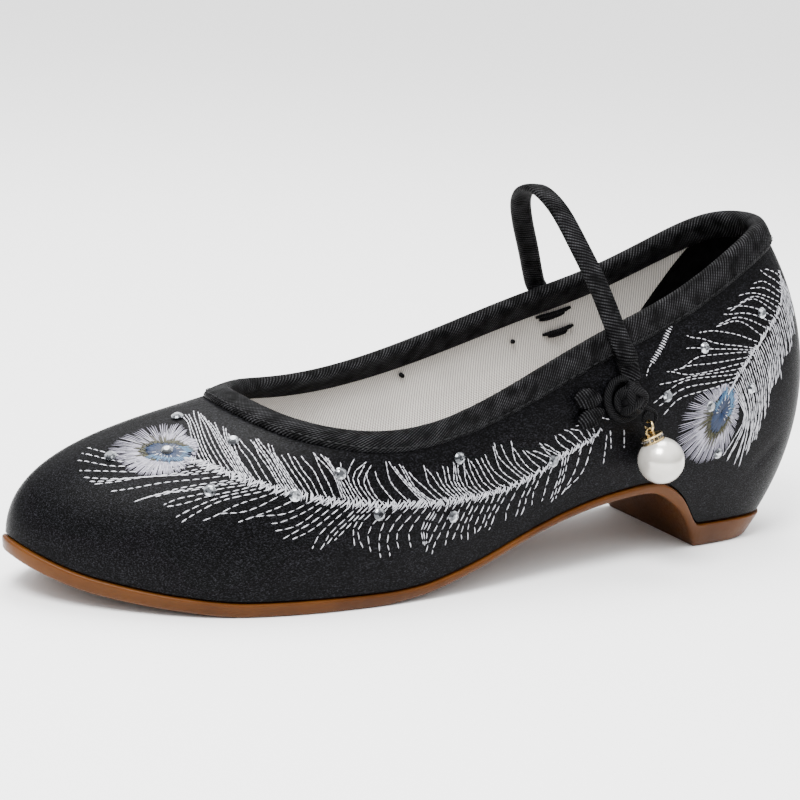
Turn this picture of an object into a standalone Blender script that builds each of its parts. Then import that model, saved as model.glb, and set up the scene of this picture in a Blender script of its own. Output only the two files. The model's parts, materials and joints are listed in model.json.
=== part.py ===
"""Left court shoe of black satin on a low wrapped heel, with an instep strap, a cord knot and a pearl drop.

A point of the shoe is (along, across, height) in metres: along runs from the back of the heel to the toe,
across is negative on the outer side of the foot, and height is above the floor. In the scene the toe points
along -X, and the origin is the middle of the heel's flat face on the floor.
"""

import math
from collections import namedtuple

import bmesh
import bpy
import numpy as np
from mathutils import Matrix, Vector

# Driving sizes of the last, in metres
SHOE_LENGTH = 0.245
BALL_WIDTH = 0.078
COLLAR_HEIGHT = 0.090
HEEL_HEIGHT = 0.033
TOE_SPRING = 0.0125
HEEL_REST_ALONG = 0.125 * SHOE_LENGTH

# Walls, clearances and the sole's steps
UPPER_WALL = 0.0018
FIT_GAP = 0.00035
WELT_GAP = 0.00045
SOLE_EDGE = 0.0042
SOLE_LIP = 0.0009
SOLE_BEVEL = 0.0008
SEAT_LEDGE = 0.0007
BREAST_HOLLOW = 0.0035
INSOLE_THICKNESS = 0.0024
INSOLE_BEVEL = 0.0007

# Topline binding, a tape folded over the collar's edge
BINDING_DEPTH = 0.0066
BINDING_THICKNESS = 0.0012
BINDING_GAP = 0.00055

# Instep strap and the loop at its outer end
STRAP_WIDTH = 0.0062
STRAP_THICKNESS = 0.0026
LOOP_RADIUS = 0.0055
LOOP_CORD = 0.0012

# Knot of three cord rings round a core, sewn to the outer wall
KNOT_ALONG = 0.3235 * SHOE_LENGTH
KNOT_HEIGHT = 0.543 * COLLAR_HEIGHT
KNOT_RING = 0.0031
KNOT_CORD = 0.0016
KNOT_CORE = 0.0037
STEM_RADIUS = 0.0016

# Bow of two padded cloth lobes beside the knot
LOBE_LENGTH = 0.0095
LOBE_WIDTH = 0.0058
LOBE_THICKNESS = 0.0026

# Thread eye under the knot, and the drop that hangs in it
THREAD_RADIUS = 0.0005
THREAD_LOOP = 0.0022
THREAD_DROP = 0.0078
THREAD_SETBACK = 0.0065
RING_WIRE = 0.00040
RING_RADIUS = 0.0016
STAPLE_WIRE = 0.00035
STAPLE_RADIUS = 0.00110
STAPLE_RISE = 0.00075
LINK_GAP = 0.00030
CAP_RADIUS = 0.0033
CAP_HEIGHT = 0.0021
CAP_SEAT = 0.86
PEARL_RADIUS = 0.0066
DROP_SWAY = -20.0
DROP_SWAY_RANGE = (-45.0, 25.0)

# Mesh columns between one station and the next, from the heel's back to the toe
COLUMNS = (3, 4, 7, 4, 3, 3, 3, 5, 6, 5)
UPPER_ROWS = 7
BOTTOM_STRIPS = 6

Station = namedtuple("Station", "along lateral medial height")

# Four rings that carry the upper's wall, from the floor to the topline. A row is a station from the heel's
# back to the toe tip: shares of SHOE_LENGTH, BALL_WIDTH, BALL_WIDTH and COLLAR_HEIGHT. A wall line starts on
# the floor ring and ends on the topline, and the swell and shoulder rings are its Bezier handles.
FLOOR_RING = (
    Station(0.071, 0.000, 0.000, 0.000),
    Station(0.082, 0.180, 0.180, 0.000),
    Station(0.127, 0.256, 0.256, 0.000),
    Station(0.204, 0.282, 0.269, 0.000),
    Station(0.314, 0.327, 0.263, 0.000),
    Station(0.429, 0.397, 0.308, 0.000),
    Station(0.551, 0.462, 0.391, 0.000),
    Station(0.673, 0.485, 0.462, 0.000),
    Station(0.796, 0.433, 0.455, 0.004),
    Station(0.906, 0.256, 0.346, 0.040),
    Station(0.991, -0.064, 0.064, 0.085),
)
SWELL_RING = (
    Station(-0.012, 0.000, 0.000, 0.333),
    Station(0.008, 0.270, 0.270, 0.333),
    Station(0.088, 0.365, 0.365, 0.322),
    Station(0.208, 0.400, 0.390, 0.300),
    Station(0.318, 0.423, 0.385, 0.256),
    Station(0.429, 0.455, 0.397, 0.206),
    Station(0.551, 0.513, 0.468, 0.172),
    Station(0.673, 0.538, 0.526, 0.167),
    Station(0.802, 0.494, 0.500, 0.200),
    Station(0.922, 0.325, 0.355, 0.270),
    Station(1.016, -0.064, 0.064, 0.350),
)
SHOULDER_RING = (
    Station(-0.022, 0.000, 0.000, 0.689),
    Station(-0.004, 0.215, 0.215, 0.689),
    Station(0.080, 0.330, 0.330, 0.660),
    Station(0.210, 0.390, 0.390, 0.590),
    Station(0.325, 0.420, 0.400, 0.530),
    Station(0.433, 0.445, 0.425, 0.455),
    Station(0.543, 0.480, 0.460, 0.406),
    Station(0.649, 0.490, 0.480, 0.395),
    Station(0.763, 0.405, 0.400, 0.418),
    Station(0.865, 0.220, 0.240, 0.455),
    Station(0.932, -0.058, 0.058, 0.465),
)
TOPLINE_RING = (
    Station(0.068, 0.000, 0.000, 1.034),
    Station(0.083, 0.122, 0.118, 1.024),
    Station(0.131, 0.205, 0.198, 0.968),
    Station(0.225, 0.267, 0.258, 0.840),
    Station(0.327, 0.308, 0.308, 0.739),
    Station(0.425, 0.353, 0.353, 0.639),
    Station(0.518, 0.397, 0.397, 0.550),
    Station(0.604, 0.415, 0.415, 0.502),
    Station(0.678, 0.355, 0.380, 0.500),
    Station(0.725, 0.192, 0.218, 0.520),
    Station(0.741, -0.026, 0.026, 0.537),
)

# The rubber sole from heel to toe. Each row is a share of SHOE_LENGTH, then the rise of its underside in
# shares of HEEL_HEIGHT and TOE_SPRING, and the thickness of its edge in shares of SOLE_EDGE.
SoleRow = namedtuple("SoleRow", "along heel_rise toe_rise edge")
SOLE_ROWS = (
    SoleRow(0.000, 0.000, 0.000, 1.79),
    SoleRow(0.176, 0.000, 0.000, 1.79),
    SoleRow(0.186, 0.110, 0.000, 1.22),
    SoleRow(0.196, 0.220, 0.000, 1.10),
    SoleRow(0.214, 0.380, 0.000, 1.13),
    SoleRow(0.241, 0.530, 0.000, 1.05),
    SoleRow(0.261, 0.600, 0.000, 0.80),
    SoleRow(0.278, 0.610, 0.000, 0.72),
    SoleRow(0.306, 0.598, 0.000, 0.66),
    SoleRow(0.347, 0.562, 0.000, 0.62),
    SoleRow(0.388, 0.503, 0.000, 0.58),
    SoleRow(0.429, 0.423, 0.000, 0.55),
    SoleRow(0.469, 0.323, 0.000, 0.56),
    SoleRow(0.510, 0.212, 0.000, 0.60),
    SoleRow(0.551, 0.115, 0.000, 0.68),
    SoleRow(0.592, 0.040, 0.000, 0.78),
    SoleRow(0.645, 0.000, 0.000, 0.95),
    SoleRow(0.788, 0.000, 0.000, 1.00),
    SoleRow(0.857, 0.000, 0.115, 1.02),
    SoleRow(0.931, 0.000, 0.340, 1.10),
    SoleRow(0.980, 0.000, 0.700, 1.10),
    SoleRow(1.010, 0.000, 1.100, 0.90),
)

# Height of the heel seat inside the upper: shares of SHOE_LENGTH and HEEL_HEIGHT
SeatRow = namedtuple("SeatRow", "along height")
SEAT_ROWS = (
    SeatRow(0.000, 1.000),
    SeatRow(0.175, 0.955),
    SeatRow(0.214, 0.905),
    SeatRow(0.241, 0.875),
    SeatRow(0.261, 0.850),
    SeatRow(0.278, 0.800),
    SeatRow(0.294, 0.715),
    SeatRow(0.367, 0.450),
    SeatRow(1.010, 0.000),
)

# Strap over the instep, between its sewn inner end and its loop: shares of SHOE_LENGTH, BALL_WIDTH (outer
# side negative) and COLLAR_HEIGHT
StrapPoint = namedtuple("StrapPoint", "along across height")
STRAP_ARCH = (
    StrapPoint(0.302, 0.338, 0.797),
    StrapPoint(0.328, 0.266, 0.908),
    StrapPoint(0.357, 0.182, 1.021),
    StrapPoint(0.374, 0.118, 1.095),
    StrapPoint(0.381, 0.048, 1.138),
    StrapPoint(0.380, -0.038, 1.145),
    StrapPoint(0.374, -0.135, 1.098),
    StrapPoint(0.365, -0.231, 1.003),
    StrapPoint(0.349, -0.314, 0.875),
)

# Where the strap's ends lie on the wall: share of SHOE_LENGTH, share of BINDING_DEPTH below the topline, and
# whether it still passes over the binding
StrapEnd = namedtuple("StrapEnd", "along depth over_binding")
STRAP_INNER_END = (StrapEnd(0.266, 2.30, False), StrapEnd(0.275, 1.60, False), StrapEnd(0.283, 1.06, True),
                   StrapEnd(0.290, 0.35, True))
STRAP_OUTER_END = (StrapEnd(0.327, 0.35, True), StrapEnd(0.321, 1.06, True), StrapEnd(0.314, 1.55, False))


def monotone(rows, share, column):
    """Reads one column of a table at a share of the length, with no overshoot between its rows."""
    xs = [row.along for row in rows]
    ys = [getattr(row, column) for row in rows]
    slopes = [(ys[i + 1] - ys[i]) / (xs[i + 1] - xs[i]) for i in range(len(xs) - 1)]
    tangents = [slopes[0]]
    for before, after in zip(slopes, slopes[1:]):
        level = before * after <= 0
        tangents.append(0.0 if level else 2 * before * after / (before + after))
    tangents.append(slopes[-1])
    share = min(max(share, xs[0]), xs[-1])
    i = max(k for k in range(len(xs) - 1) if xs[k] <= share)
    width = xs[i + 1] - xs[i]
    t = (share - xs[i]) / width
    start = (1 + 2 * t) * (1 - t) ** 2 * ys[i] + t * (1 - t) ** 2 * width * tangents[i]
    end = t * t * (3 - 2 * t) * ys[i + 1] + t * t * (t - 1) * width * tangents[i + 1]
    return start + end


def ground_height(along):
    """Height of the sole's underside."""
    share = along / SHOE_LENGTH
    heel = HEEL_HEIGHT * monotone(SOLE_ROWS, share, "heel_rise")
    return heel + TOE_SPRING * monotone(SOLE_ROWS, share, "toe_rise")


def welt_height(along):
    """Height of the satin's lower edge, on top of the sole's edge."""
    return ground_height(along) + SOLE_EDGE * monotone(SOLE_ROWS, along / SHOE_LENGTH, "edge")


def ledge_height(along):
    """Height of the sole's ledge, a gap under the satin's edge measured square to its line."""
    step = 0.0005
    slope = (welt_height(along + step) - welt_height(along - step)) / (2 * step)
    return welt_height(along) - WELT_GAP * math.hypot(1.0, slope)


def seat_height(along):
    """Height of the rubber inside the upper, under the insole."""
    seat = HEEL_HEIGHT * monotone(SEAT_ROWS, along / SHOE_LENGTH, "height")
    return max(welt_height(along) + SEAT_LEDGE, seat)


def closed_ring(rows):
    """The stations of a ring in order round the shoe: outer side from heel to toe, then back along the inner."""
    size = Vector((SHOE_LENGTH, BALL_WIDTH, COLLAR_HEIGHT))
    outer = [(r.along * size.x, -r.lateral * size.y, r.height * size.z) for r in rows]
    inner = [(r.along * size.x, r.medial * size.y, r.height * size.z) for r in rows[-2:0:-1]]
    return outer + inner


STATIONS = len(FLOOR_RING) - 1
RINGS = np.array([closed_ring(r) for r in (FLOOR_RING, SWELL_RING, SHOULDER_RING, TOPLINE_RING)])


def ring_bends(rings):
    """Second differences of the smooth closed cubics through the stations of each ring."""
    count = rings.shape[1]
    system = 4 * np.eye(count) + np.roll(np.eye(count), 1, 0) + np.roll(np.eye(count), -1, 0)
    steps = np.roll(rings, -1, 1) - 2 * rings + np.roll(rings, 1, 1)
    return np.stack([np.linalg.solve(system, 6 * ring) for ring in steps])


RING_BENDS = ring_bends(RINGS)


def handles_at(u):
    """The four Bezier points of the wall line at station u, which may lie between two stations."""
    count = RINGS.shape[1]
    i = int(math.floor(u)) % count
    t = u - math.floor(u)
    j = (i + 1) % count
    ends = (1 - t) * RINGS[:, i] + t * RINGS[:, j]
    bend_i = ((1 - t) ** 3 - (1 - t)) / 6
    bend_j = (t**3 - t) / 6
    return ends + bend_i * RING_BENDS[:, i] + bend_j * RING_BENDS[:, j]


def wall_point(u, w):
    """The upper's outer surface at station u and share w of the way from the floor ring to the topline."""
    a, b, c, d = handles_at(u)
    return (1 - w) ** 3 * a + 3 * w * (1 - w) ** 2 * b + 3 * w * w * (1 - w) * c + w**3 * d


def wall_normal(u, w):
    """Outward normal of the upper's outer surface."""
    step = 1e-3
    round_shoe = wall_point(u + step, w) - wall_point(u - step, w)
    up = wall_point(u, w + step) - wall_point(u, w - step)
    normal = np.cross(round_shoe, up)
    return normal / np.linalg.norm(normal)


def off_wall(u, w, offset):
    """A point off the outer surface by that distance, positive outwards."""
    return wall_point(u, w) + offset * wall_normal(u, w)


def share_on_line(u, line):
    """The share w at which the wall line at u crosses a height line along the shoe."""
    low, high = -0.25, 0.8
    for _ in range(26):
        middle = (low + high) / 2
        point = wall_point(u, middle)
        if point[2] < line(point[0]):
            low = middle
        else:
            high = middle
    return (low + high) / 2


def share_below_topline(u, depth):
    """The share w at a distance down the wall line from the topline."""
    step = 0.002
    w, run, last = 1.0, 0.0, wall_point(u, 1.0)
    while run < depth:
        w -= step
        point = wall_point(u, w)
        run += np.linalg.norm(point - last)
        last = point
    return w


def wall_at(along, height, outer_side=True):
    """Station and share (u, w) of the point of a side wall at that place along the shoe and that height."""
    u, w = STATIONS / 3, 0.5
    low, high = 1.0, STATIONS - 0.5
    for _ in range(20):
        u = (low + high) / 2
        w = share_on_line(u, lambda _: height)
        if wall_point(u, w)[0] < along:
            low = u
        else:
            high = u
    return (u if outer_side else 2 * STATIONS - u), w


def place(point):
    """A point of the shoe as a point of the scene."""
    return Vector((HEEL_REST_ALONG - point[0], point[1], point[2]))


def turn(direction):
    """A direction of the shoe as a direction of the scene."""
    return Vector((-direction[0], direction[1], direction[2]))


def column_stations():
    """The mesh columns round the whole shoe, as stations."""
    half = [i + k / n for i, n in enumerate(COLUMNS) for k in range(n)] + [STATIONS]
    return half + [2 * STATIONS - u for u in half[-2:0:-1]]


COLUMN_STATIONS = column_stations()


def clear_scene():
    for obj in list(bpy.data.objects):
        bpy.data.objects.remove(obj, do_unlink=True)


def collection(name):
    made = bpy.data.collections.new(name)
    bpy.context.scene.collection.children.link(made)
    return made


def material(name, colour, roughness, metallic=0.0):
    made = bpy.data.materials.new(name)
    made.use_nodes = True
    shader = made.node_tree.nodes["Principled BSDF"]
    shader.inputs["Base Color"].default_value = (*colour, 1.0)
    shader.inputs["Roughness"].default_value = roughness
    shader.inputs["Metallic"].default_value = metallic
    return made


def finish(bm, name, mat, home):
    """Turns a bmesh into a named, smooth-shaded object of the shoe."""
    bmesh.ops.recalc_face_normals(bm, faces=bm.faces)
    mesh = bpy.data.meshes.new(name)
    bm.to_mesh(mesh)
    bm.free()
    mesh.shade_smooth()
    mesh.set_sharp_from_angle(angle=math.radians(40))
    mesh.materials.append(mat)
    obj = bpy.data.objects.new(name, mesh)
    home.objects.link(obj)
    return obj


def joined(base, others):
    """Unites solids into the first one and removes the rest."""
    for other in others:
        union = base.modifiers.new("join_" + other.name, "BOOLEAN")
        union.operation = "UNION"
        union.solver = "EXACT"
        union.object = other
        evaluated = base.evaluated_get(bpy.context.evaluated_depsgraph_get())
        mesh = bpy.data.meshes.new_from_object(evaluated)
        base.modifiers.clear()
        base.data = mesh
        bpy.data.objects.remove(other, do_unlink=True)
    return base


def add_ring(bm, points):
    return [bm.verts.new(place(p)) for p in points]


def bridge(bm, lower, upper):
    """Quads between two closed rings of as many points."""
    count = len(lower)
    for i in range(count):
        j = (i + 1) % count
        bm.faces.new((lower[i], lower[j], upper[j], upper[i]))


def cap_across(bm, ring, strips, raise_by=None):
    """Closes a ring with rows of quads from the outer side to the inner, raised between them if asked."""
    count = len(ring)
    half = count // 2
    rows = []
    for i in range(1, half):
        outer, inner = ring[i], ring[count - i]
        row = [outer]
        for k in range(1, strips):
            point = outer.co.lerp(inner.co, k / strips)
            if raise_by:
                point.z += raise_by(HEEL_REST_ALONG - point.x, k / strips)
            row.append(bm.verts.new(point))
        rows.append(row + [inner])
    for k in range(strips):
        bm.faces.new((ring[0], rows[0][k], rows[0][k + 1]))
        bm.faces.new((ring[half], rows[-1][k + 1], rows[-1][k]))
    for before, after in zip(rows, rows[1:]):
        for k in range(strips):
            bm.faces.new((before[k], after[k], after[k + 1], before[k + 1]))


def line_ring(line, offset):
    """A closed ring of points where the wall crosses a height line, off the outer surface by offset."""
    return [off_wall_level(u, share_on_line(u, line), offset) for u in COLUMN_STATIONS]


def off_wall_level(u, w, offset):
    """A point off the wall by a distance measured level with the floor."""
    normal = wall_normal(u, w).copy()
    normal[2] = 0.0
    return wall_point(u, w) + offset * normal / np.linalg.norm(normal)


def breast_hollow(along, across_share):
    """How far the hollow face of the heel's breast is raised between its two rims."""
    share = along / SHOE_LENGTH
    start, top, end = 0.176, 0.215, 0.270
    if not start < share < end:
        return 0.0
    rise = (share - start) / (top - start) if share < top else (end - share) / (end - top)
    round_in = 1 - (2 * across_share - 1) ** 4
    return BREAST_HOLLOW * math.sin(0.5 * math.pi * rise) * round_in


def make_outsole(mat, home):
    """The rubber unit: forepart, shank, heel with its breast, and the seat inside the satin."""
    inside = -(UPPER_WALL + WELT_GAP)
    bm = bmesh.new()
    rings = (
        line_ring(ground_height, SOLE_LIP - SOLE_BEVEL),
        line_ring(lambda a: ground_height(a) + SOLE_BEVEL, SOLE_LIP),
        line_ring(lambda a: ledge_height(a) - SOLE_BEVEL, SOLE_LIP),
        line_ring(ledge_height, SOLE_LIP - SOLE_BEVEL / 2),
        line_ring(ledge_height, inside),
        line_ring(seat_height, inside),
    )
    loops = [add_ring(bm, ring) for ring in rings]
    for lower, upper in zip(loops, loops[1:]):
        bridge(bm, lower, upper)
    cap_across(bm, loops[0], BOTTOM_STRIPS, breast_hollow)
    cap_across(bm, loops[-1], 2)
    return finish(bm, "outsole", mat, home)


def make_insole(mat, home):
    """The sock board, which lies on the rubber seat inside the upper."""
    inside = -(UPPER_WALL + 2 * WELT_GAP)
    bottom = FIT_GAP
    top = bottom + INSOLE_THICKNESS
    bm = bmesh.new()
    rings = (
        line_ring(lambda a: seat_height(a) + bottom, inside),
        line_ring(lambda a: seat_height(a) + top - INSOLE_BEVEL, inside),
        line_ring(lambda a: seat_height(a) + top, inside - INSOLE_BEVEL),
    )
    loops = [add_ring(bm, ring) for ring in rings]
    for lower, upper in zip(loops, loops[1:]):
        bridge(bm, lower, upper)
    cap_across(bm, loops[0], 2)
    cap_across(bm, loops[-1], 2)
    return finish(bm, "insole", mat, home)


def make_upper(mat, home):
    """The satin upper: one wall from the sole's edge, or the heel's lift, to the topline."""
    bm = bmesh.new()
    bottoms = [share_on_line(u, welt_height) for u in COLUMN_STATIONS]
    loops = []
    tops = [share_below_topline(u, BINDING_DEPTH) for u in COLUMN_STATIONS]
    for row in range(UPPER_ROWS):
        t = row / (UPPER_ROWS - 1)
        points = [
            wall_point(u, low + t * (high - low)) for u, low, high in zip(COLUMN_STATIONS, bottoms, tops)
        ]
        loops.append(add_ring(bm, points))
    for depth in (0.5 * BINDING_DEPTH, 0.0):
        points = [wall_point(u, share_below_topline(u, depth)) for u in COLUMN_STATIONS]
        loops.append(add_ring(bm, points))
    for lower, upper in zip(loops, loops[1:]):
        bridge(bm, lower, upper)
    obj = finish(bm, "upper", mat, home)
    outward = turn(wall_normal(STATIONS / 2, 0.5))
    middle = place(wall_point(STATIONS / 2, 0.5))
    nearest = min(obj.data.polygons, key=lambda face: (face.center - middle).length)
    if nearest.normal.dot(outward) < 0:
        obj.data.flip_normals()
    solidify = obj.modifiers.new("wall", "SOLIDIFY")
    solidify.thickness = UPPER_WALL
    solidify.offset = -1.0
    solidify.use_rim = True
    return obj


def binding_section():
    """The folded tape's section: (height over the collar's edge, distance off the wall's outer face)."""
    near = BINDING_GAP
    far = near + BINDING_THICKNESS
    back_near = -(UPPER_WALL + BINDING_GAP)
    back_far = back_near - BINDING_THICKNESS
    middle = (far + back_far) / 2
    return (
        (-BINDING_DEPTH, near),
        (-BINDING_DEPTH * 0.50, far * 1.10),
        (0.0, far),
        (far * 0.80, far * 0.35),
        (far, middle),
        (far * 0.80, back_far + far * 0.65),
        (0.0, back_far),
        (-BINDING_DEPTH * 0.50, back_far),
        (-BINDING_DEPTH * 0.95, back_far),
        (-BINDING_DEPTH * 0.97, back_near),
        (-BINDING_DEPTH * 0.50, back_near),
        (near, back_near),
        (near, near),
        (-BINDING_DEPTH * 0.50, near),
    )


def make_binding(mat, home):
    """The twill tape that is folded over the collar's edge all round."""
    bm = bmesh.new()
    section = binding_section()
    columns = []
    for u in COLUMN_STATIONS:
        edge = wall_point(u, 1.0)
        rise = edge - wall_point(u, 0.99)
        rise = rise / np.linalg.norm(rise)
        points = []
        for height, offset in section:
            if height >= 0:
                points.append(edge + height * rise + offset * wall_normal(u, 1.0))
            else:
                points.append(off_wall(u, share_below_topline(u, -height), offset))
        columns.append(add_ring(bm, points))
    for column, following in zip(columns, columns[1:] + columns[:1]):
        bridge(bm, column, following)
    return finish(bm, "topline_binding", mat, home)


def smooth_path(points, steps):
    """A Catmull-Rom path through points, with that many steps between one and the next."""
    ends = [2 * points[0] - points[1]] + list(points) + [2 * points[-1] - points[-2]]
    path = []
    for a, b, c, d in zip(ends, ends[1:], ends[2:], ends[3:]):
        for k in range(steps):
            t = k / steps
            path.append(
                0.5 * (2 * b + (c - a) * t + (2 * a - 5 * b + 4 * c - d) * t * t
                       + (3 * b - 3 * c + d - a) * t**3)
            )
    return path + [points[-1]]


def strap_section():
    """Half-flat oval of the folded tape, as shares of its half width and half thickness."""
    return ((1.0, 0.0), (0.8, 0.8), (0.0, 1.0), (-0.8, 0.8), (-1.0, 0.0), (-0.8, -0.8), (0.0, -1.0), (0.8, -0.8))


def strap_end_point(end, outer_side):
    """A point of the strap's middle line where it lies on the wall or on the binding."""
    u, _ = wall_at(end.along * SHOE_LENGTH, 0.6 * COLLAR_HEIGHT, outer_side)
    under = 1.1 * (BINDING_GAP + BINDING_THICKNESS) + FIT_GAP if end.over_binding else FIT_GAP
    w = share_below_topline(u, end.depth * BINDING_DEPTH)
    return off_wall(u, w, under + STRAP_THICKNESS / 2)


def strap_points():
    """The strap's middle line in the scene, from its sewn inner end to the top of its loop."""
    size = np.array((SHOE_LENGTH, BALL_WIDTH, COLLAR_HEIGHT))
    inner = [strap_end_point(end, outer_side=False) for end in STRAP_INNER_END]
    arch = [np.array(point) * size for point in STRAP_ARCH]
    outer = [strap_end_point(end, outer_side=True) for end in STRAP_OUTER_END]
    points = [place(p) for p in inner + arch + outer]
    meet = Vector((0.5 * LOOP_RADIUS, 0.87 * LOOP_RADIUS, STRAP_THICKNESS / 2 + FIT_GAP))
    return points + [knot_frame() @ meet]


def knot_frame():
    """Frame of the knot on the wall: X to the heel, Y up the wall and Z outwards."""
    u, w = wall_at(KNOT_ALONG, KNOT_HEIGHT)
    out = turn(wall_normal(u, w)).normalized()
    up = (Vector((0, 0, 1)) - out * out.z).normalized()
    side = up.cross(out)
    frame = Matrix((side, up, out)).transposed().to_4x4()
    frame.translation = place(wall_point(u, w))
    return frame


def sweep(bm, points, widths, section):
    """Sweeps a section along points. Its width lies along the shoe, square to the path."""
    loops = []
    for i, point in enumerate(points):
        ahead = (points[min(i + 1, len(points) - 1)] - points[max(i - 1, 0)]).normalized()
        side = Vector((1, 0, 0))
        side = (side - ahead * side.dot(ahead)).normalized()
        face = ahead.cross(side)
        wide, thick = widths
        loop = [point + side * (s * wide / 2) + face * (t * thick / 2) for s, t in section]
        loops.append([bm.verts.new(p) for p in loop])
    for lower, upper in zip(loops, loops[1:]):
        bridge(bm, lower, upper)
    bm.faces.new(loops[0])
    bm.faces.new(loops[-1])


def add_torus(name, frame, major, minor, segments, sides, mat, home):
    """A ring of cord or wire in the XY plane of a frame."""
    bpy.ops.mesh.primitive_torus_add(
        major_radius=major, minor_radius=minor, major_segments=segments, minor_segments=sides
    )
    obj = bpy.context.object
    obj.name = name
    obj.data.transform(frame)
    obj.data.materials.append(mat)
    obj.data.shade_smooth()
    for parent in list(obj.users_collection):
        parent.objects.unlink(obj)
    home.objects.link(obj)
    return obj


def make_strap(mat, home):
    """The instep strap, with the loop at its outer end that buttons round the knot."""
    bm = bmesh.new()
    path = smooth_path(strap_points(), 3)
    sweep(bm, path, (STRAP_WIDTH, STRAP_THICKNESS), strap_section())
    strap = finish(bm, "strap", mat, home)
    lie = Matrix.Translation((0, 0, LOOP_CORD + FIT_GAP))
    loop = add_torus("strap_loop", knot_frame() @ lie, LOOP_RADIUS, LOOP_CORD, 24, 8, mat, home)
    return joined(strap, [loop])


def add_rod(name, start, end, radius, sides, mat, home):
    """A straight round rod between two points."""
    axis = end - start
    frame = Matrix.Translation((start + end) / 2) @ axis.to_track_quat("Z", "Y").to_matrix().to_4x4()
    bm = bmesh.new()
    bmesh.ops.create_cone(
        bm, cap_ends=True, segments=sides, radius1=radius, radius2=radius, depth=axis.length, matrix=frame
    )
    return finish(bm, name, mat, home)


def knot_centre():
    return knot_frame() @ Vector((0, 0, FIT_GAP + KNOT_RING + KNOT_CORD))


def drop_pivot():
    """Middle of the thread where the drop's ring hangs: the first hinge."""
    return knot_centre() + Vector((THREAD_SETBACK, -0.0002, -THREAD_DROP))


def make_knot(mat, home):
    """The button knot: a core in three crossing rings of cord, a stem, and the thread loop below it."""
    centre = knot_centre()
    frame = knot_frame()
    frame.translation = centre
    bm = bmesh.new()
    bmesh.ops.create_icosphere(bm, subdivisions=2, radius=KNOT_CORE, matrix=Matrix.Translation(centre))
    knot = finish(bm, "button_knot", mat, home)
    turns = (("X", 62.0), ("Y", 62.0), ("X", -35.0))
    rings = [
        add_torus(
            f"knot_ring_{i}", frame @ Matrix.Rotation(math.radians(angle), 4, axis),
            KNOT_RING, KNOT_CORD, 14, 6, mat, home,
        )
        for i, (axis, angle) in enumerate(turns)
    ]
    foot = knot_frame() @ Vector((0, 0, FIT_GAP))
    stem = add_rod("knot_stem", foot, centre, STEM_RADIUS, 8, mat, home)
    pivot = drop_pivot()
    hang = Matrix.Translation(pivot + Vector((0, 0, THREAD_LOOP)))
    loop = add_torus(
        "thread_loop", hang @ Matrix.Rotation(math.radians(90), 4, "X"),
        THREAD_LOOP, THREAD_RADIUS, 16, 6, mat, home,
    )
    top = pivot + Vector((0, 0, 2 * THREAD_LOOP))
    tie = add_rod("thread_tie", top, centre, 1.5 * THREAD_RADIUS, 6, mat, home)
    return joined(knot, rings + [stem, tie, loop])


def make_lobes(mat, home):
    """The bow beside the knot: two padded lobes that lie on the satin on the toe's side."""
    reach = LOOP_RADIUS + LOOP_CORD + 2 * FIT_GAP + LOBE_LENGTH / 2
    made = []
    for i, angle in enumerate((176.0, 201.0)):
        turned = Matrix.Rotation(math.radians(angle), 4, "Z")
        at = Matrix.Translation((reach, 0, LOBE_THICKNESS / 2 + FIT_GAP))
        stretch = Matrix.Diagonal((LOBE_LENGTH / 2, LOBE_WIDTH / 2, LOBE_THICKNESS / 2, 1.0))
        bm = bmesh.new()
        bmesh.ops.create_uvsphere(
            bm, u_segments=16, v_segments=10, radius=1.0, matrix=knot_frame() @ turned @ at @ stretch
        )
        made.append(finish(bm, "bow_lobes" if i == 0 else "bow_lobe_low", mat, home))
    return joined(made[0], made[1:])


SIDE_CACHE = {}


def side_grid(along, height):
    """Point of the outer wall near a place, read once for each millimetre."""
    key = (round(along * 1000), round(height * 1000))
    if key not in SIDE_CACHE:
        u, w = wall_at(key[0] / 1000, key[1] / 1000)
        SIDE_CACHE[key] = place(wall_point(u, w))
    return SIDE_CACHE[key]


def clearance(centre):
    """Distance from a point beside the outer wall to the wall's surface."""
    distances = []
    for i in range(-6, 7):
        for k in range(-7, 8):
            along = HEEL_REST_ALONG - centre.x + i * PEARL_RADIUS / 6
            distances.append((side_grid(along, centre.z + k * PEARL_RADIUS / 7) - centre).length)
    return min(distances)


def ring_frame(lean):
    """Frame of the ring's hinge, turned outwards by a lean, with X along the shoe."""
    frame = Matrix.Rotation(-lean, 4, "X")
    frame.translation = drop_pivot()
    return frame


def sway_frame(lean, sway):
    """Frame of the drop's hinge on the ring's lowest wire, turned along the shoe by a sway."""
    hang = RING_RADIUS - RING_WIRE - THREAD_RADIUS - LINK_GAP
    at = Matrix.Translation((0, 0, -hang - RING_RADIUS))
    return ring_frame(lean) @ at @ Matrix.Rotation(math.radians(sway), 4, "Y")


def pearl_reach():
    """Distance from the drop's hinge to the pearl's centre."""
    return STAPLE_RISE + CAP_HEIGHT + CAP_SEAT * PEARL_RADIUS


def drop_lean():
    """The lean outwards at which the pearl lies close to the satin at every sway."""
    low, high = 0.0, math.radians(60)
    sways = [DROP_SWAY_RANGE[0] + k * (DROP_SWAY_RANGE[1] - DROP_SWAY_RANGE[0]) / 4 for k in range(5)]
    for _ in range(12):
        lean = (low + high) / 2
        centres = [sway_frame(lean, sway) @ Vector((0, 0, -pearl_reach())) for sway in sways]
        if min(clearance(centre) for centre in centres) < PEARL_RADIUS + FIT_GAP:
            low = lean
        else:
            high = lean
    return high


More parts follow.
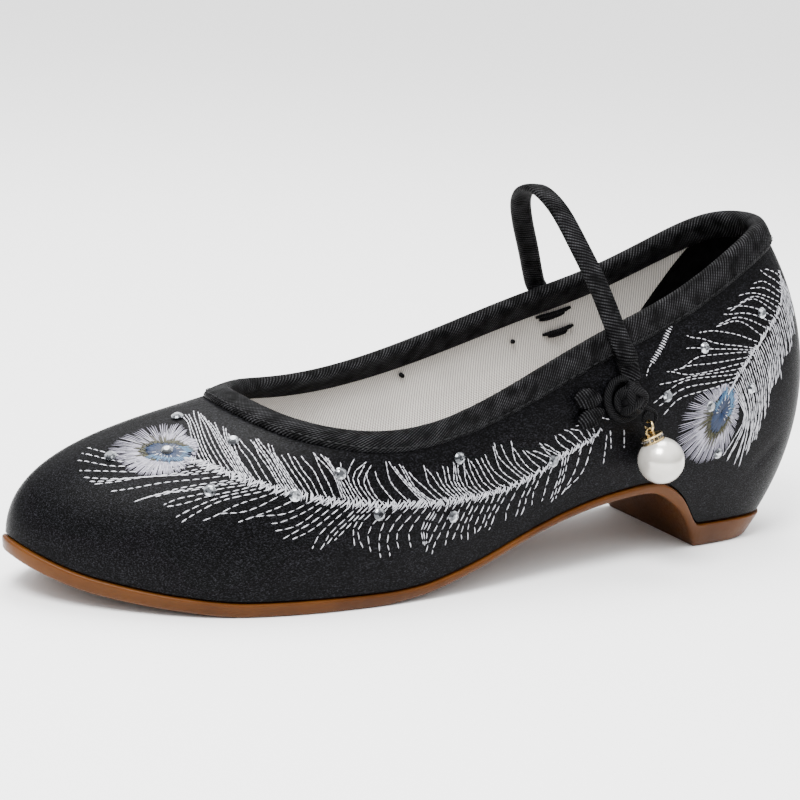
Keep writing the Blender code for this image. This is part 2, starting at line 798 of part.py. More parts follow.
def make_drop(mats, home):
    """The pearl in its gold cap, and the wire ring that hangs it on the thread loop."""
    lean = drop_lean()
    hinge = sway_frame(lean, DROP_SWAY)
    frame = hinge @ Matrix.Translation((0, 0, -pearl_reach()))
    bm = bmesh.new()
    bmesh.ops.create_uvsphere(bm, u_segments=22, v_segments=12, radius=PEARL_RADIUS, matrix=frame)
    finish(bm, "pearl", mats["pearl"], home)

    hang = RING_RADIUS - RING_WIRE - THREAD_RADIUS - LINK_GAP
    upright = Matrix.Rotation(math.radians(90), 4, "Y")
    at = ring_frame(lean) @ Matrix.Translation((0, 0, -hang)) @ upright
    add_torus("pearl_ring", at, RING_RADIUS, RING_WIRE, 20, 6, mats["gold"], home)

    base = CAP_SEAT * PEARL_RADIUS
    bm = bmesh.new()
    bmesh.ops.create_cone(
        bm, cap_ends=True, segments=20, radius1=CAP_RADIUS, radius2=CAP_RADIUS, depth=CAP_HEIGHT,
        matrix=frame @ Matrix.Translation((0, 0, base + CAP_HEIGHT / 2)),
    )
    cap = finish(bm, "pearl_cap", mats["gold"], home)
    across = Matrix.Rotation(math.radians(90), 4, "X")
    staple = add_torus("cap_staple", hinge @ across, STAPLE_RADIUS, STAPLE_WIRE, 16, 6, mats["gold"], home)
    joined(cap, [staple])
    bm = bmesh.new()
    bmesh.ops.create_uvsphere(
        bm, u_segments=22, v_segments=18, radius=PEARL_RADIUS + FIT_GAP, matrix=frame
    )
    cutters = collection("cutters")
    bowl = finish(bm, "cap_bowl", mats["gold"], cutters)
    bowl.hide_render = True
    bowl.display_type = "WIRE"
    cut = cap.modifiers.new("seat", "BOOLEAN")
    cut.operation = "DIFFERENCE"
    cut.solver = "EXACT"
    cut.object = bowl


def main():
    clear_scene()
    shoe = collection("embroidered_silk_shoe")
    mats = {
        "rubber": material("rubber", (0.36, 0.13, 0.04), 0.45),
        "satin": material("satin", (0.012, 0.012, 0.016), 0.42),
        "twill": material("twill", (0.010, 0.010, 0.011), 0.6),
        "canvas": material("canvas", (0.62, 0.58, 0.55), 0.9),
        "cord": material("cord", (0.009, 0.009, 0.010), 0.55),
        "gold": material("gold", (0.83, 0.68, 0.36), 0.25, 1.0),
        "pearl": material("pearl", (0.86, 0.84, 0.80), 0.2),
    }
    make_outsole(mats["rubber"], shoe)
    make_insole(mats["canvas"], shoe)
    make_upper(mats["satin"], shoe)
    make_binding(mats["twill"], shoe)
    make_strap(mats["twill"], shoe)
    make_knot(mats["cord"], shoe)
    make_lobes(mats["cord"], shoe)
    make_drop(mats, shoe)


main()
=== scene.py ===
"""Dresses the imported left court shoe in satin, twill tape, canvas, rubber, embroidered feathers and stones.

A point of the last is (along, across, height) in metres: along runs from the back of the heel to the toe,
across is negative on the outer side of the foot, and height is above the floor. In the scene the toe points
along -X. A place in the embroidery is (girth, depth): the distance round the wall at mid height from the
middle of the heel's back, and the distance down the wall from the topline.
"""

import json
import logging
import math
import random
from dataclasses import dataclass
from enum import Enum
from typing import Callable, NamedTuple, Sequence

import bmesh
import bpy
import numpy as np
from mathutils import Matrix, Vector

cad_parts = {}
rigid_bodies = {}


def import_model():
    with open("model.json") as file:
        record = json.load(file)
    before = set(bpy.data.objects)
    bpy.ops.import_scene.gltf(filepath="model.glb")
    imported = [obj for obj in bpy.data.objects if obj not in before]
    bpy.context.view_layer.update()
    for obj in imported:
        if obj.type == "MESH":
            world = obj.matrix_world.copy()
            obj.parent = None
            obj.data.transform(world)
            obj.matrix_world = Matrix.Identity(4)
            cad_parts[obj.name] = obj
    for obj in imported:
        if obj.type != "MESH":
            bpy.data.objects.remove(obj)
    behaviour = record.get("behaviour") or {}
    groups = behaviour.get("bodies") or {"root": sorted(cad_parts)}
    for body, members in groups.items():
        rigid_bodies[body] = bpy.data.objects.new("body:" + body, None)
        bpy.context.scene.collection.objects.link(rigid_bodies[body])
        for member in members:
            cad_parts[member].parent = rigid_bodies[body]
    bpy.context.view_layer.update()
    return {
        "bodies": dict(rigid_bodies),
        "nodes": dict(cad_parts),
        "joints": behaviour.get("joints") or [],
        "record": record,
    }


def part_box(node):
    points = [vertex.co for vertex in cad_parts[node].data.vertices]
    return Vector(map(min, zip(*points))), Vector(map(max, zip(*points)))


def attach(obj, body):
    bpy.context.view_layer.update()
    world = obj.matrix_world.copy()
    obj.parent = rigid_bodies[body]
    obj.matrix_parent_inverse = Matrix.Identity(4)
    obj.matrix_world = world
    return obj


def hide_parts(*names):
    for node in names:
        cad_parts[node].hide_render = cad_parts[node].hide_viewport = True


LOG = logging.getLogger("shoe")
MM = 0.001

# Driving sizes of the last, in metres
SHOE_LENGTH = 0.245
BALL_WIDTH = 0.078
COLLAR_HEIGHT = 0.090
HEEL_HEIGHT = 0.033
TOE_SPRING = 0.0125
HEEL_REST_ALONG = 0.125 * SHOE_LENGTH


class Station(NamedTuple):
    """A place on a ring of the last, in shares of its length, ball width (each side) and collar height."""

    along: float
    lateral: float
    medial: float
    height: float


FLOOR_RING = (
    Station(0.071, 0.000, 0.000, 0.000),
    Station(0.082, 0.180, 0.180, 0.000),
    Station(0.127, 0.256, 0.256, 0.000),
    Station(0.204, 0.282, 0.269, 0.000),
    Station(0.314, 0.327, 0.263, 0.000),
    Station(0.429, 0.397, 0.308, 0.000),
    Station(0.551, 0.462, 0.391, 0.000),
    Station(0.673, 0.485, 0.462, 0.000),
    Station(0.796, 0.433, 0.455, 0.004),
    Station(0.906, 0.256, 0.346, 0.040),
    Station(0.991, -0.064, 0.064, 0.085),
)
SWELL_RING = (
    Station(-0.012, 0.000, 0.000, 0.333),
    Station(0.008, 0.270, 0.270, 0.333),
    Station(0.088, 0.365, 0.365, 0.322),
    Station(0.208, 0.400, 0.390, 0.300),
    Station(0.318, 0.423, 0.385, 0.256),
    Station(0.429, 0.455, 0.397, 0.206),
    Station(0.551, 0.513, 0.468, 0.172),
    Station(0.673, 0.538, 0.526, 0.167),
    Station(0.802, 0.494, 0.500, 0.200),
    Station(0.922, 0.325, 0.355, 0.270),
    Station(1.016, -0.064, 0.064, 0.350),
)
SHOULDER_RING = (
    Station(-0.022, 0.000, 0.000, 0.689),
    Station(-0.004, 0.215, 0.215, 0.689),
    Station(0.080, 0.330, 0.330, 0.660),
    Station(0.210, 0.390, 0.390, 0.590),
    Station(0.325, 0.420, 0.400, 0.530),
    Station(0.433, 0.445, 0.425, 0.455),
    Station(0.543, 0.480, 0.460, 0.406),
    Station(0.649, 0.490, 0.480, 0.395),
    Station(0.763, 0.405, 0.400, 0.418),
    Station(0.865, 0.220, 0.240, 0.455),
    Station(0.932, -0.058, 0.058, 0.465),
)
TOPLINE_RING = (
    Station(0.068, 0.000, 0.000, 1.034),
    Station(0.083, 0.122, 0.118, 1.024),
    Station(0.131, 0.205, 0.198, 0.968),
    Station(0.225, 0.267, 0.258, 0.840),
    Station(0.327, 0.308, 0.308, 0.739),
    Station(0.425, 0.353, 0.353, 0.639),
    Station(0.518, 0.397, 0.397, 0.550),
    Station(0.604, 0.415, 0.415, 0.502),
    Station(0.678, 0.355, 0.380, 0.500),
    Station(0.725, 0.192, 0.218, 0.520),
    Station(0.741, -0.026, 0.026, 0.537),
)
STATIONS = len(FLOOR_RING) - 1


class SoleRow(NamedTuple):
    """The sole at a share of the length: its rises in heel heights and toe springs, and its edge."""

    along: float
    heel_rise: float
    toe_rise: float
    edge: float


SOLE_ROWS = (
    SoleRow(0.000, 0.000, 0.000, 1.79),
    SoleRow(0.176, 0.000, 0.000, 1.79),
    SoleRow(0.186, 0.110, 0.000, 1.22),
    SoleRow(0.196, 0.220, 0.000, 1.10),
    SoleRow(0.214, 0.380, 0.000, 1.13),
    SoleRow(0.241, 0.530, 0.000, 1.05),
    SoleRow(0.261, 0.600, 0.000, 0.80),
    SoleRow(0.278, 0.610, 0.000, 0.72),
    SoleRow(0.306, 0.598, 0.000, 0.66),
    SoleRow(0.347, 0.562, 0.000, 0.62),
    SoleRow(0.388, 0.503, 0.000, 0.58),
    SoleRow(0.429, 0.423, 0.000, 0.55),
    SoleRow(0.469, 0.323, 0.000, 0.56),
    SoleRow(0.510, 0.212, 0.000, 0.60),
    SoleRow(0.551, 0.115, 0.000, 0.68),
    SoleRow(0.592, 0.040, 0.000, 0.78),
    SoleRow(0.645, 0.000, 0.000, 0.95),
    SoleRow(0.788, 0.000, 0.000, 1.00),
    SoleRow(0.857, 0.000, 0.115, 1.02),
    SoleRow(0.931, 0.000, 0.340, 1.10),
    SoleRow(0.980, 0.000, 0.700, 1.10),
    SoleRow(1.010, 0.000, 1.100, 0.90),
)


class SeatRow(NamedTuple):
    """The seat inside the upper at a share of the length, in shares of the heel's height."""

    along: float
    height: float


SEAT_ROWS = (
    SeatRow(0.000, 1.000),
    SeatRow(0.175, 0.955),
    SeatRow(0.214, 0.905),
    SeatRow(0.241, 0.875),
    SeatRow(0.261, 0.850),
    SeatRow(0.278, 0.800),
    SeatRow(0.294, 0.715),
    SeatRow(0.367, 0.450),
    SeatRow(1.010, 0.000),
)


class Profile:
    """One column of a table along the shoe, read smoothly and with no overshoot between its rows."""

    def __init__(self, rows: Sequence[NamedTuple], column: str) -> None:
        """Reads the column and works out its slopes.

        Args:
            rows: the table, each row with a share of the length called along.
            column: the name of the value to read.
        """
        self.xs = np.array([row.along for row in rows])
        self.ys = np.array([getattr(row, column) for row in rows])
        slopes = np.diff(self.ys) / np.diff(self.xs)
        before, after = slopes[:-1], slopes[1:]
        total = np.where(before * after > 0, before + after, 1.0)
        inner = np.where(before * after > 0, 2 * before * after / total, 0.0)
        self.tangents = np.concatenate([slopes[:1], inner, slopes[-1:]])

    def __call__(self, along: np.ndarray) -> np.ndarray:
        """Value at a distance along the shoe."""
        share = np.clip(along / SHOE_LENGTH, self.xs[0], self.xs[-1])
        i = np.clip(np.searchsorted(self.xs, share, "right") - 1, 0, len(self.xs) - 2)
        width = self.xs[i + 1] - self.xs[i]
        t = (share - self.xs[i]) / width
        start = (1 + 2 * t) * (1 - t) ** 2 * self.ys[i] + t * (1 - t) ** 2 * width * self.tangents[i]
        end = t * t * (3 - 2 * t) * self.ys[i + 1] + t * t * (t - 1) * width * self.tangents[i + 1]
        return start + end


@dataclass(frozen=True)
class SoleLines:
    """Heights of the sole along the shoe."""

    edge: float = 4.2 * MM
    ledge_gap: float = 0.45 * MM
    seat_ledge: float = 0.7 * MM
    heel_rise: Profile = Profile(SOLE_ROWS, "heel_rise")
    toe_rise: Profile = Profile(SOLE_ROWS, "toe_rise")
    edge_share: Profile = Profile(SOLE_ROWS, "edge")
    seat_share: Profile = Profile(SEAT_ROWS, "height")

    def ground(self, along: np.ndarray) -> np.ndarray:
        """Height of the underside."""
        return HEEL_HEIGHT * self.heel_rise(along) + TOE_SPRING * self.toe_rise(along)

    def welt(self, along: np.ndarray) -> np.ndarray:
        """Height of the satin's lower edge."""
        return self.ground(along) + self.edge * self.edge_share(along)

    def ledge(self, along: np.ndarray) -> np.ndarray:
        """Height of the top of the rubber's edge, under the satin."""
        step = 0.5 * MM
        slope = (self.welt(along + step) - self.welt(along - step)) / (2 * step)
        return self.welt(along) - self.ledge_gap * np.hypot(1.0, slope)

    def seat(self, along: np.ndarray) -> np.ndarray:
        """Height of the rubber inside the upper."""
        return np.maximum(self.welt(along) + self.seat_ledge, HEEL_HEIGHT * self.seat_share(along))


SOLE_LINES = SoleLines()


class Last:
    """The wall of the upper as a smooth surface.

    Station u runs 0 to 10 from the heel's back to the toe on the outer side, then to 20 on the inner side.
    Share w runs 0 to 1 from the floor to the topline.
    """

    GIRTH_STEPS = 800
    DEPTH_STEP = 0.5 * MM
    DEPTH_COUNT = 240

    def __init__(self) -> None:
        """Works out the rings' bends and the tables that the embroidery is laid by."""
        rings = (FLOOR_RING, SWELL_RING, SHOULDER_RING, TOPLINE_RING)
        self.rings = np.array([self._closed(rows) for rows in rings])
        count = self.rings.shape[1]
        system = 4 * np.eye(count) + np.roll(np.eye(count), 1, 0) + np.roll(np.eye(count), -1, 0)
        steps = np.roll(self.rings, -1, 1) - 2 * self.rings + np.roll(self.rings, 1, 1)
        self.bends = np.stack([np.linalg.solve(system, 6 * ring) for ring in steps])
        self.girth_stations = np.linspace(-STATIONS, STATIONS, self.GIRTH_STEPS + 1)
        middle = self.points(self.girth_stations, np.full(self.GIRTH_STEPS + 1, 0.5))
        run = np.concatenate([[0], np.cumsum(np.linalg.norm(np.diff(middle, axis=0), axis=1))])
        self.girths = run - run[self.GIRTH_STEPS // 2]
        self.depth_table = self.shares_below(
            self.girth_stations, self.DEPTH_STEP * np.arange(self.DEPTH_COUNT)
        )

    @staticmethod
    def _closed(rows: Sequence[Station]) -> list[tuple[float, float, float]]:
        """A ring's stations in order round the shoe, in metres."""
        outer = [(r.along * SHOE_LENGTH, -r.lateral * BALL_WIDTH, r.height * COLLAR_HEIGHT) for r in rows]
        inner = [
            (r.along * SHOE_LENGTH, r.medial * BALL_WIDTH, r.height * COLLAR_HEIGHT) for r in rows[-2:0:-1]
        ]
        return outer + inner

    def points(self, us: np.ndarray, ws: np.ndarray) -> np.ndarray:
        """Points of the outer surface in the scene.

        Args:
            us: stations.
            ws: shares of the way up the wall.

        Returns:
            One point a row.
        """
        us, ws = np.asarray(us, float), np.asarray(ws, float)
        count = self.rings.shape[1]
        base = np.floor(us)
        i = base.astype(int) % count
        j = (i + 1) % count
        t = (us - base)[..., None]
        bend_i = ((1 - t) ** 3 - (1 - t)) / 6
        bend_j = (t**3 - t) / 6
        a, b, c, d = (
            (1 - t) * ring[i] + t * ring[j] + bend_i * bend[i] + bend_j * bend[j]
            for ring, bend in zip(self.rings, self.bends)
        )
        w = ws[..., None]
        spot = (1 - w) ** 3 * a + 3 * w * (1 - w) ** 2 * b + 3 * w * w * (1 - w) * c + w**3 * d
        return spot * (-1, 1, 1) + (HEEL_REST_ALONG, 0, 0)

    def normals(self, us: np.ndarray, ws: np.ndarray) -> np.ndarray:
        """Outward normals of the outer surface in the scene."""
        step = 1e-3
        round_shoe = self.points(us + step, ws) - self.points(us - step, ws)
        rise = self.points(us, ws + step) - self.points(us, ws - step)
        normal = np.cross(rise, round_shoe)
        return normal / np.linalg.norm(normal, axis=-1, keepdims=True)

    def off(self, us: np.ndarray, ws: np.ndarray, offset: float | np.ndarray) -> np.ndarray:
        """Points off the outer surface by a distance, positive outwards."""
        return self.points(us, ws) + np.asarray(offset)[..., None] * self.normals(us, ws)

    def off_level(self, us: np.ndarray, ws: np.ndarray, offset: float) -> np.ndarray:
        """Points off the wall by a distance measured level with the floor."""
        normal = self.normals(us, ws) * (1, 1, 0)
        return self.points(us, ws) + offset * normal / np.linalg.norm(normal, axis=-1, keepdims=True)

    def share_at(self, us: np.ndarray, line: Callable[[np.ndarray], np.ndarray]) -> np.ndarray:
        """Shares w at which the wall crosses a height line along the shoe."""
        low, high = np.full(len(us), -0.25), np.full(len(us), 0.8)
        for _ in range(30):
            middle = (low + high) / 2
            spot = self.points(us, middle)
            under = spot[:, 2] < line(HEEL_REST_ALONG - spot[:, 0])
            low, high = np.where(under, middle, low), np.where(under, high, middle)
        return (low + high) / 2

    def shares_below(self, us: np.ndarray, depths: np.ndarray) -> np.ndarray:
        """Shares w at distances down the wall from the topline, one row for each station."""
        ws = np.linspace(1.0, -0.3, 261)
        path = self.points(us[:, None], np.broadcast_to(ws, (len(us), len(ws))))
        run = np.cumsum(np.linalg.norm(np.diff(path, axis=1), axis=2), axis=1)
        run = np.concatenate([np.zeros((len(us), 1)), run], axis=1)
        return np.array([np.interp(depths, row, ws) for row in run])

    def share_below(self, us: np.ndarray, depth: float) -> np.ndarray:
        """Shares w at one distance down the wall from the topline."""
        return self.shares_below(us, np.array([depth]))[:, 0]

    def side_place(self, along: float, height: float, outer: bool = True) -> tuple[float, float]:
        """Station and share of the point of a side wall at a place along the shoe and a height."""
        low, high = 1.0, STATIONS - 0.5
        middle, w = low, np.array([0.5])
        for _ in range(24):
            middle = (low + high) / 2
            w = self.share_at(np.array([middle]), lambda a: np.full_like(a, height))
            spot = self.points(np.array([middle]), w)[0]
            if HEEL_REST_ALONG - spot[0] < along:
                low = middle
            else:
                high = middle
        return (middle if outer else 2 * STATIONS - middle), float(w[0])

    def stitched(self, girths: np.ndarray, depths: np.ndarray) -> tuple[np.ndarray, np.ndarray]:
        """Stations and shares of places in the embroidery.

        Args:
            girths: distances round the shoe at mid height, negative on the inner side.
            depths: distances down the wall from the topline.

        Returns:
            Stations and shares.
        """
        us = np.interp(girths, self.girths, self.girth_stations)
        row = (us + STATIONS) / (2 * STATIONS) * self.GIRTH_STEPS
        column = np.clip(depths / self.DEPTH_STEP, 0, self.DEPTH_COUNT - 1.001)
        i, k = np.clip(row.astype(int), 0, self.GIRTH_STEPS - 1), column.astype(int)
        s, t = row - i, column - k
        table = self.depth_table
        low = (1 - s) * table[i, k] + s * table[i + 1, k]
        high = (1 - s) * table[i, k + 1] + s * table[i + 1, k + 1]
        return us, (1 - t) * low + t * high


class Graph:
    """A node tree with short calls for its nodes."""

    def __init__(self, tree: bpy.types.NodeTree) -> None:
        """Keeps the tree.

        Args:
            tree: the tree that nodes are added to.
        """
        self.tree = tree

    def add(self, kind: str, values: dict | None = None, **settings: object) -> bpy.types.Node:
        """Adds a node.

        Args:
            kind: the node's type.
            values: constants, or sockets to link, by the input's name or number.
            settings: the node's own options.

        Returns:
            The node.
        """
        node = self.tree.nodes.new(kind)
        for name, value in settings.items():
            setattr(node, name, value)
        self.fill(node, values or {})
        return node

    def fill(self, node: bpy.types.Node, values: dict) -> None:
        """Links or sets a node's inputs by name or number."""
        for name, value in values.items():
            self.feed(node.inputs[name], value)

    def feed(self, socket: bpy.types.NodeSocket, value: object) -> None:
        """Links a socket to another one, or sets its constant."""
        if isinstance(value, bpy.types.NodeSocket):
            self.tree.links.new(value, socket)
        else:
            socket.default_value = value

    def math(self, operation: str, *values: object, clamp: bool = False) -> bpy.types.NodeSocket:
        """Result of a Math node on up to three values."""
        node = self.add("ShaderNodeMath", dict(enumerate(values)), operation=operation, use_clamp=clamp)
        return node.outputs[0]

    def mix(self, share: object, low: object, high: object) -> bpy.types.NodeSocket:
        """Result of a colour mix, from low at share 0 to high at share 1."""
        return self.add("ShaderNodeMix", {"Factor": share, 6: low, 7: high}, data_type="RGBA").outputs[2]

    def noise(self, vector: object, scale: object, detail: float, rough: float = 0.5) -> bpy.types.NodeSocket:
        """Value of a noise texture."""
        values = {"Vector": vector, "Scale": scale, "Detail": detail, "Roughness": rough}
        return self.add("ShaderNodeTexNoise", values).outputs[0]

    def spot(self) -> bpy.types.NodeSocket:
        """The Object coordinates."""
        return self.add("ShaderNodeTexCoord").outputs["Object"]

    def flat_spot(self) -> bpy.types.NodeSocket:
        """The UV map, in metres."""
        return self.add("ShaderNodeUVMap", uv_map="UVMap").outputs[0]

    def use(self, group: bpy.types.NodeTree, **values: object) -> bpy.types.Node:
        """Node of a shared group, with its inputs fed."""
        return self.add("ShaderNodeGroup", values, node_tree=group)

    def spread(
        self, value: object, low: float, high: float, to_low: float, to_high: float
    ) -> bpy.types.NodeSocket:
        """Result of a clamped Map Range."""
        node = self.add("ShaderNodeMapRange", {0: value, 1: low, 2: high, 3: to_low, 4: to_high})
        return node.outputs[0]


def new_group(name: str, inputs: dict[str, str], outputs: dict[str, str]) -> tuple[Graph, object, object]:
    """Starts a shader node group.

    Args:
        name: the group's name.
        inputs: kind of socket by name, such as Float.
        outputs: the same for what it gives.

    Returns:
        The group's graph, its input node and its output node.
    """
    tree = bpy.data.node_groups.new(name, "ShaderNodeTree")
    for side, sockets in (("INPUT", inputs), ("OUTPUT", outputs)):
        for label, kind in sockets.items():
            tree.interface.new_socket(name=label, in_out=side, socket_type="NodeSocket" + kind)
    graph = Graph(tree)
    return graph, graph.add("NodeGroupInput"), graph.add("NodeGroupOutput")


def twill_group() -> bpy.types.NodeTree:
    """Builds the diagonal ribs of a twill tape, from a UV map in metres.

    Returns:
        The group, with inputs Vector, Pitch and Slant, and outputs Height and Yarn.
    """
    inputs = {"Vector": "Vector", "Pitch": "Float", "Slant": "Float"}
    g, start, end = new_group("twill ribs", inputs, {"Height": "Float", "Yarn": "Float"})
    vector, pitch, slant = (start.outputs[name] for name in inputs)
    xy = g.add("ShaderNodeSeparateXYZ", {0: vector}).outputs
    cosine, sine = g.math("COSINE", slant), g.math("SINE", slant)
    across = g.math("ADD", g.math("MULTIPLY", xy[0], cosine), g.math("MULTIPLY", xy[1], sine))
    wobble = g.math("MULTIPLY", g.noise(vector, 300.0, 2.0), 0.55)
    turns = g.math("ADD", g.math("DIVIDE", across, pitch), wobble)
    rib = g.math("ABSOLUTE", g.math("SINE", g.math("MULTIPLY", turns, math.pi)))
    along = g.math("SUBTRACT", g.math("MULTIPLY", xy[1], cosine), g.math("MULTIPLY", xy[0], sine))
    beads = g.math("DIVIDE", along, g.math("MULTIPLY", pitch, 0.9))
    yarn = g.math("ABSOLUTE", g.math("SINE", g.math("MULTIPLY", beads, math.pi)))
    height = g.math("MULTIPLY", rib, g.math("ADD", 0.75, g.math("MULTIPLY", yarn, 0.25)))
    g.fill(end, {"Height": height, "Yarn": yarn})
    return g.tree


def weave_group() -> bpy.types.NodeTree:
    """Builds a plain weave, from a UV map in metres.

    Returns:
        The group, with inputs Vector and Pitch, and outputs Height and Hole.
    """
    inputs = {"Vector": "Vector", "Pitch": "Float"}
    g, start, end = new_group("plain weave", inputs, {"Height": "Float", "Hole": "Float"})
    vector, pitch = (start.outputs[name] for name in inputs)
    xy = g.add("ShaderNodeSeparateXYZ", {0: vector}).outputs
    waves = [g.math("SINE", g.math("MULTIPLY", g.math("DIVIDE", xy[k], pitch), math.pi)) for k in (0, 1)]
    thread = g.math("ABSOLUTE", g.math("MULTIPLY", *waves))
    height = g.math("ADD", thread, g.math("MULTIPLY", g.noise(vector, 900.0, 2.0), 0.5))
    g.fill(end, {"Height": height, "Hole": g.math("SUBTRACT", 1.0, thread)})
    return g.tree


def grain_group() -> bpy.types.NodeTree:
    """Builds the fine sparkling grain of satin, from Object coordinates.

    Returns:
        The group, with inputs Vector and Size, and outputs Speck and Height.
    """
    inputs = {"Vector": "Vector", "Size": "Float"}
    g, start, end = new_group("satin grain", inputs, {"Speck": "Float", "Height": "Float"})
    vector, size = (start.outputs[name] for name in inputs)
    scale = g.math("DIVIDE", 1.0, size)
    turned = {0: vector, "Scale": (0.55, 1.0, 1.25), "Rotation": (0.0, 0.35, 0.0)}
    fine = g.noise(g.add("ShaderNodeMapping", turned).outputs[0], scale, 3.0, 0.7)
    coarse = g.noise(vector, g.math("MULTIPLY", scale, 0.16), 2.0)
    speck = g.math("MULTIPLY", g.spread(fine, 0.50, 0.72, 0.0, 1.0), g.math("ADD", 0.55, coarse))
    g.fill(end, {"Speck": speck, "Height": fine})
    return g.tree


class Groups:
    """The shared node groups, each built once."""

    def __init__(self) -> None:
        """Builds the groups."""
        self.twill = twill_group()
        self.weave = weave_group()
        self.grain = grain_group()


@dataclass(frozen=True)
class Finish:
    """A material's name, main colours and gloss."""

    name: str
    slot: str
    dark: tuple[float, float, float]
    light: tuple[float, float, float]
    roughness: float = 0.5
    relief: float = 0.1 * MM
    shine: float = 0.5

    def build(self, groups: Groups) -> bpy.types.Material:
        """Makes the material.

        Args:
            groups: the shared node groups.

        Returns:
            The material, named for the finish.
        """
        made = bpy.data.materials.new(self.name)
        made.use_nodes = True
        graph = Graph(made.node_tree)
        shader = made.node_tree.nodes["Principled BSDF"]
        graph.fill(shader, {"Roughness": self.roughness, "Specular IOR Level": self.shine})
        self.paint(graph, shader, groups)
        return made

    def paint(self, graph: Graph, shader: bpy.types.Node, groups: Groups) -> None:
        """Feeds the shader. Each kind of finish has its own way."""
        raise NotImplementedError

    def colour(self, graph: Graph, shader: bpy.types.Node, share: object) -> None:
        """Feeds the base colour, from the dark one at share 0 to the light one at share 1."""
        mixed = graph.mix(share, (*self.dark, 1.0), (*self.light, 1.0))
        graph.feed(shader.inputs["Base Color"], mixed)

    def gloss(self, graph: Graph, shader: bpy.types.Node, noise: object, low: float, high: float) -> None:
        """Feeds the roughness, which goes from low to high over its own value as the noise rises."""
        spread = graph.spread(noise, 0.3, 0.7, self.roughness + low, self.roughness + high)
        graph.feed(shader.inputs["Roughness"], spread)

    def bump(self, graph: Graph, shader: bpy.types.Node, height: object, strength: float = 1.0) -> None:
        """Feeds the shader's normal from a height of 0 to 1."""
        node = graph.add("ShaderNodeBump", {"Height": height, "Distance": self.relief, "Strength": strength})
        graph.feed(shader.inputs["Normal"], node.outputs[0])


class Satin(Finish):
    """Black satin with a fine bright grain."""

    GRAIN = 0.34 * MM

    def paint(self, graph: Graph, shader: bpy.types.Node, groups: Groups) -> None:
        """Feeds colour, gloss and relief from the grain."""
        spot = graph.spot()
        grain = graph.use(groups.grain, Vector=spot, Size=self.GRAIN).outputs
        drift = graph.spread(graph.noise(spot, 35.0, 2.0), 0.3, 0.7, 0.8, 1.15)
        self.colour(graph, shader, graph.math("MULTIPLY", grain["Speck"], drift))
        self.gloss(graph, shader, grain["Height"], 0.1, -0.1)
        self.bump(graph, shader, grain["Height"], 0.7)


@dataclass(frozen=True)
class Twill(Finish):
    """Ribbed tape, whose colour carries painted glints on the rib tops."""

    pitch: float = 0.75 * MM
    slant: float = math.radians(32)

    def paint(self, graph: Graph, shader: bpy.types.Node, groups: Groups) -> None:
        """Feeds relief from the ribs, and colour as painted glints on the rib tops in noisy patches."""
        uv = graph.flat_spot()
        height = graph.use(groups.twill, Vector=uv, Pitch=self.pitch, Slant=self.slant).outputs["Height"]
        # Painted glints: the light colour shows only on the rib tops (height to the fourth power), and only
        # in noisy patches.
        glint_patches = graph.spread(graph.noise(uv, 260.0, 3.0), 0.38, 0.68, 0.1, 1.0)
        self.colour(graph, shader, graph.math("MULTIPLY", graph.math("POWER", height, 4.0), glint_patches))
        self.bump(graph, shader, height)


@dataclass(frozen=True)
class Canvas(Finish):
    """Plainly woven lining."""

    pitch: float = 0.85 * MM

    def paint(self, graph: Graph, shader: bpy.types.Node, groups: Groups) -> None:
        """Feeds colour and relief from the weave."""
        uv = graph.flat_spot()
        weave = graph.use(groups.weave, Vector=uv, Pitch=self.pitch).outputs
        closed = graph.spread(weave["Hole"], 0.55, 1.0, 1.0, 0.0)
        blotch = graph.spread(graph.noise(uv, 60.0, 3.0), 0.3, 0.7, 0.85, 1.0)
        self.colour(graph, shader, graph.math("MULTIPLY", closed, blotch))
        self.bump(graph, shader, weave["Height"])


class Rubber(Finish):
    """Moulded caramel rubber."""

    def paint(self, graph: Graph, shader: bpy.types.Node, groups: Groups) -> None:
        """Feeds colour and gloss from slow and fine noise."""
        spot = graph.spot()
        fine = graph.noise(spot, 1400.0, 2.0)
        self.colour(graph, shader, graph.spread(graph.noise(spot, 45.0, 3.0), 0.3, 0.7, 0.0, 1.0))
        self.gloss(graph, shader, fine, -0.08, 0.1)
        radius = (4 * MM, 1.6 * MM, 0.6 * MM)
        graph.fill(shader, {"Subsurface Weight": 0.2, "Subsurface Radius": radius, "Subsurface Scale": 1.0})
        self.bump(graph, shader, fine, 0.4)


class Thread(Finish):
    """Glossy embroidery or sewing thread, whose tone changes from stitch to stitch."""

    def paint(self, graph: Graph, shader: bpy.types.Node, groups: Groups) -> None:
        """Feeds colour from each stitch's own tone and a fine twist."""
        own = graph.add("ShaderNodeAttribute", attribute_name="tone", attribute_type="GEOMETRY")
        tone = own.outputs["Fac"]
        fibre = graph.noise(graph.spot(), 3800.0, 2.0)
        self.colour(graph, shader, graph.math("MULTIPLY", tone, graph.spread(fibre, 0.3, 0.62, 0.55, 1.0)))
        self.bump(graph, shader, fibre, 0.5)


class Cord(Finish):
    """Twisted cord, with its strands across a UV map in metres, and painted highlights on the strand tops."""

    PITCH = 0.62 * MM
    SLANT = math.radians(40)

    def paint(self, graph: Graph, shader: bpy.types.Node, groups: Groups) -> None:
        """Feeds relief from the strands, and colour as painted highlights on the strand tops with painted
        shade in the grooves between them.
        """
        ribs = graph.use(groups.twill, Vector=graph.flat_spot(), Pitch=self.PITCH, Slant=self.SLANT)
        height = ribs.outputs["Height"]
        # Painted light: the colour lights the strand tops and shades the grooves between them (height cubed).
        self.colour(graph, shader, graph.math("POWER", height, 3.0))
        self.bump(graph, shader, height)


class Gold(Finish):
    """Gold plate with small scratches."""

    def paint(self, graph: Graph, shader: bpy.types.Node, groups: Groups) -> None:
        """Feeds colour and gloss from noise; the metal itself is a constant."""
        wear = graph.noise(graph.spot(), 900.0, 4.0)
        self.colour(graph, shader, wear)
        self.gloss(graph, shader, wear, 0.0, 0.15)
        graph.fill(shader, {"Metallic": 1.0})


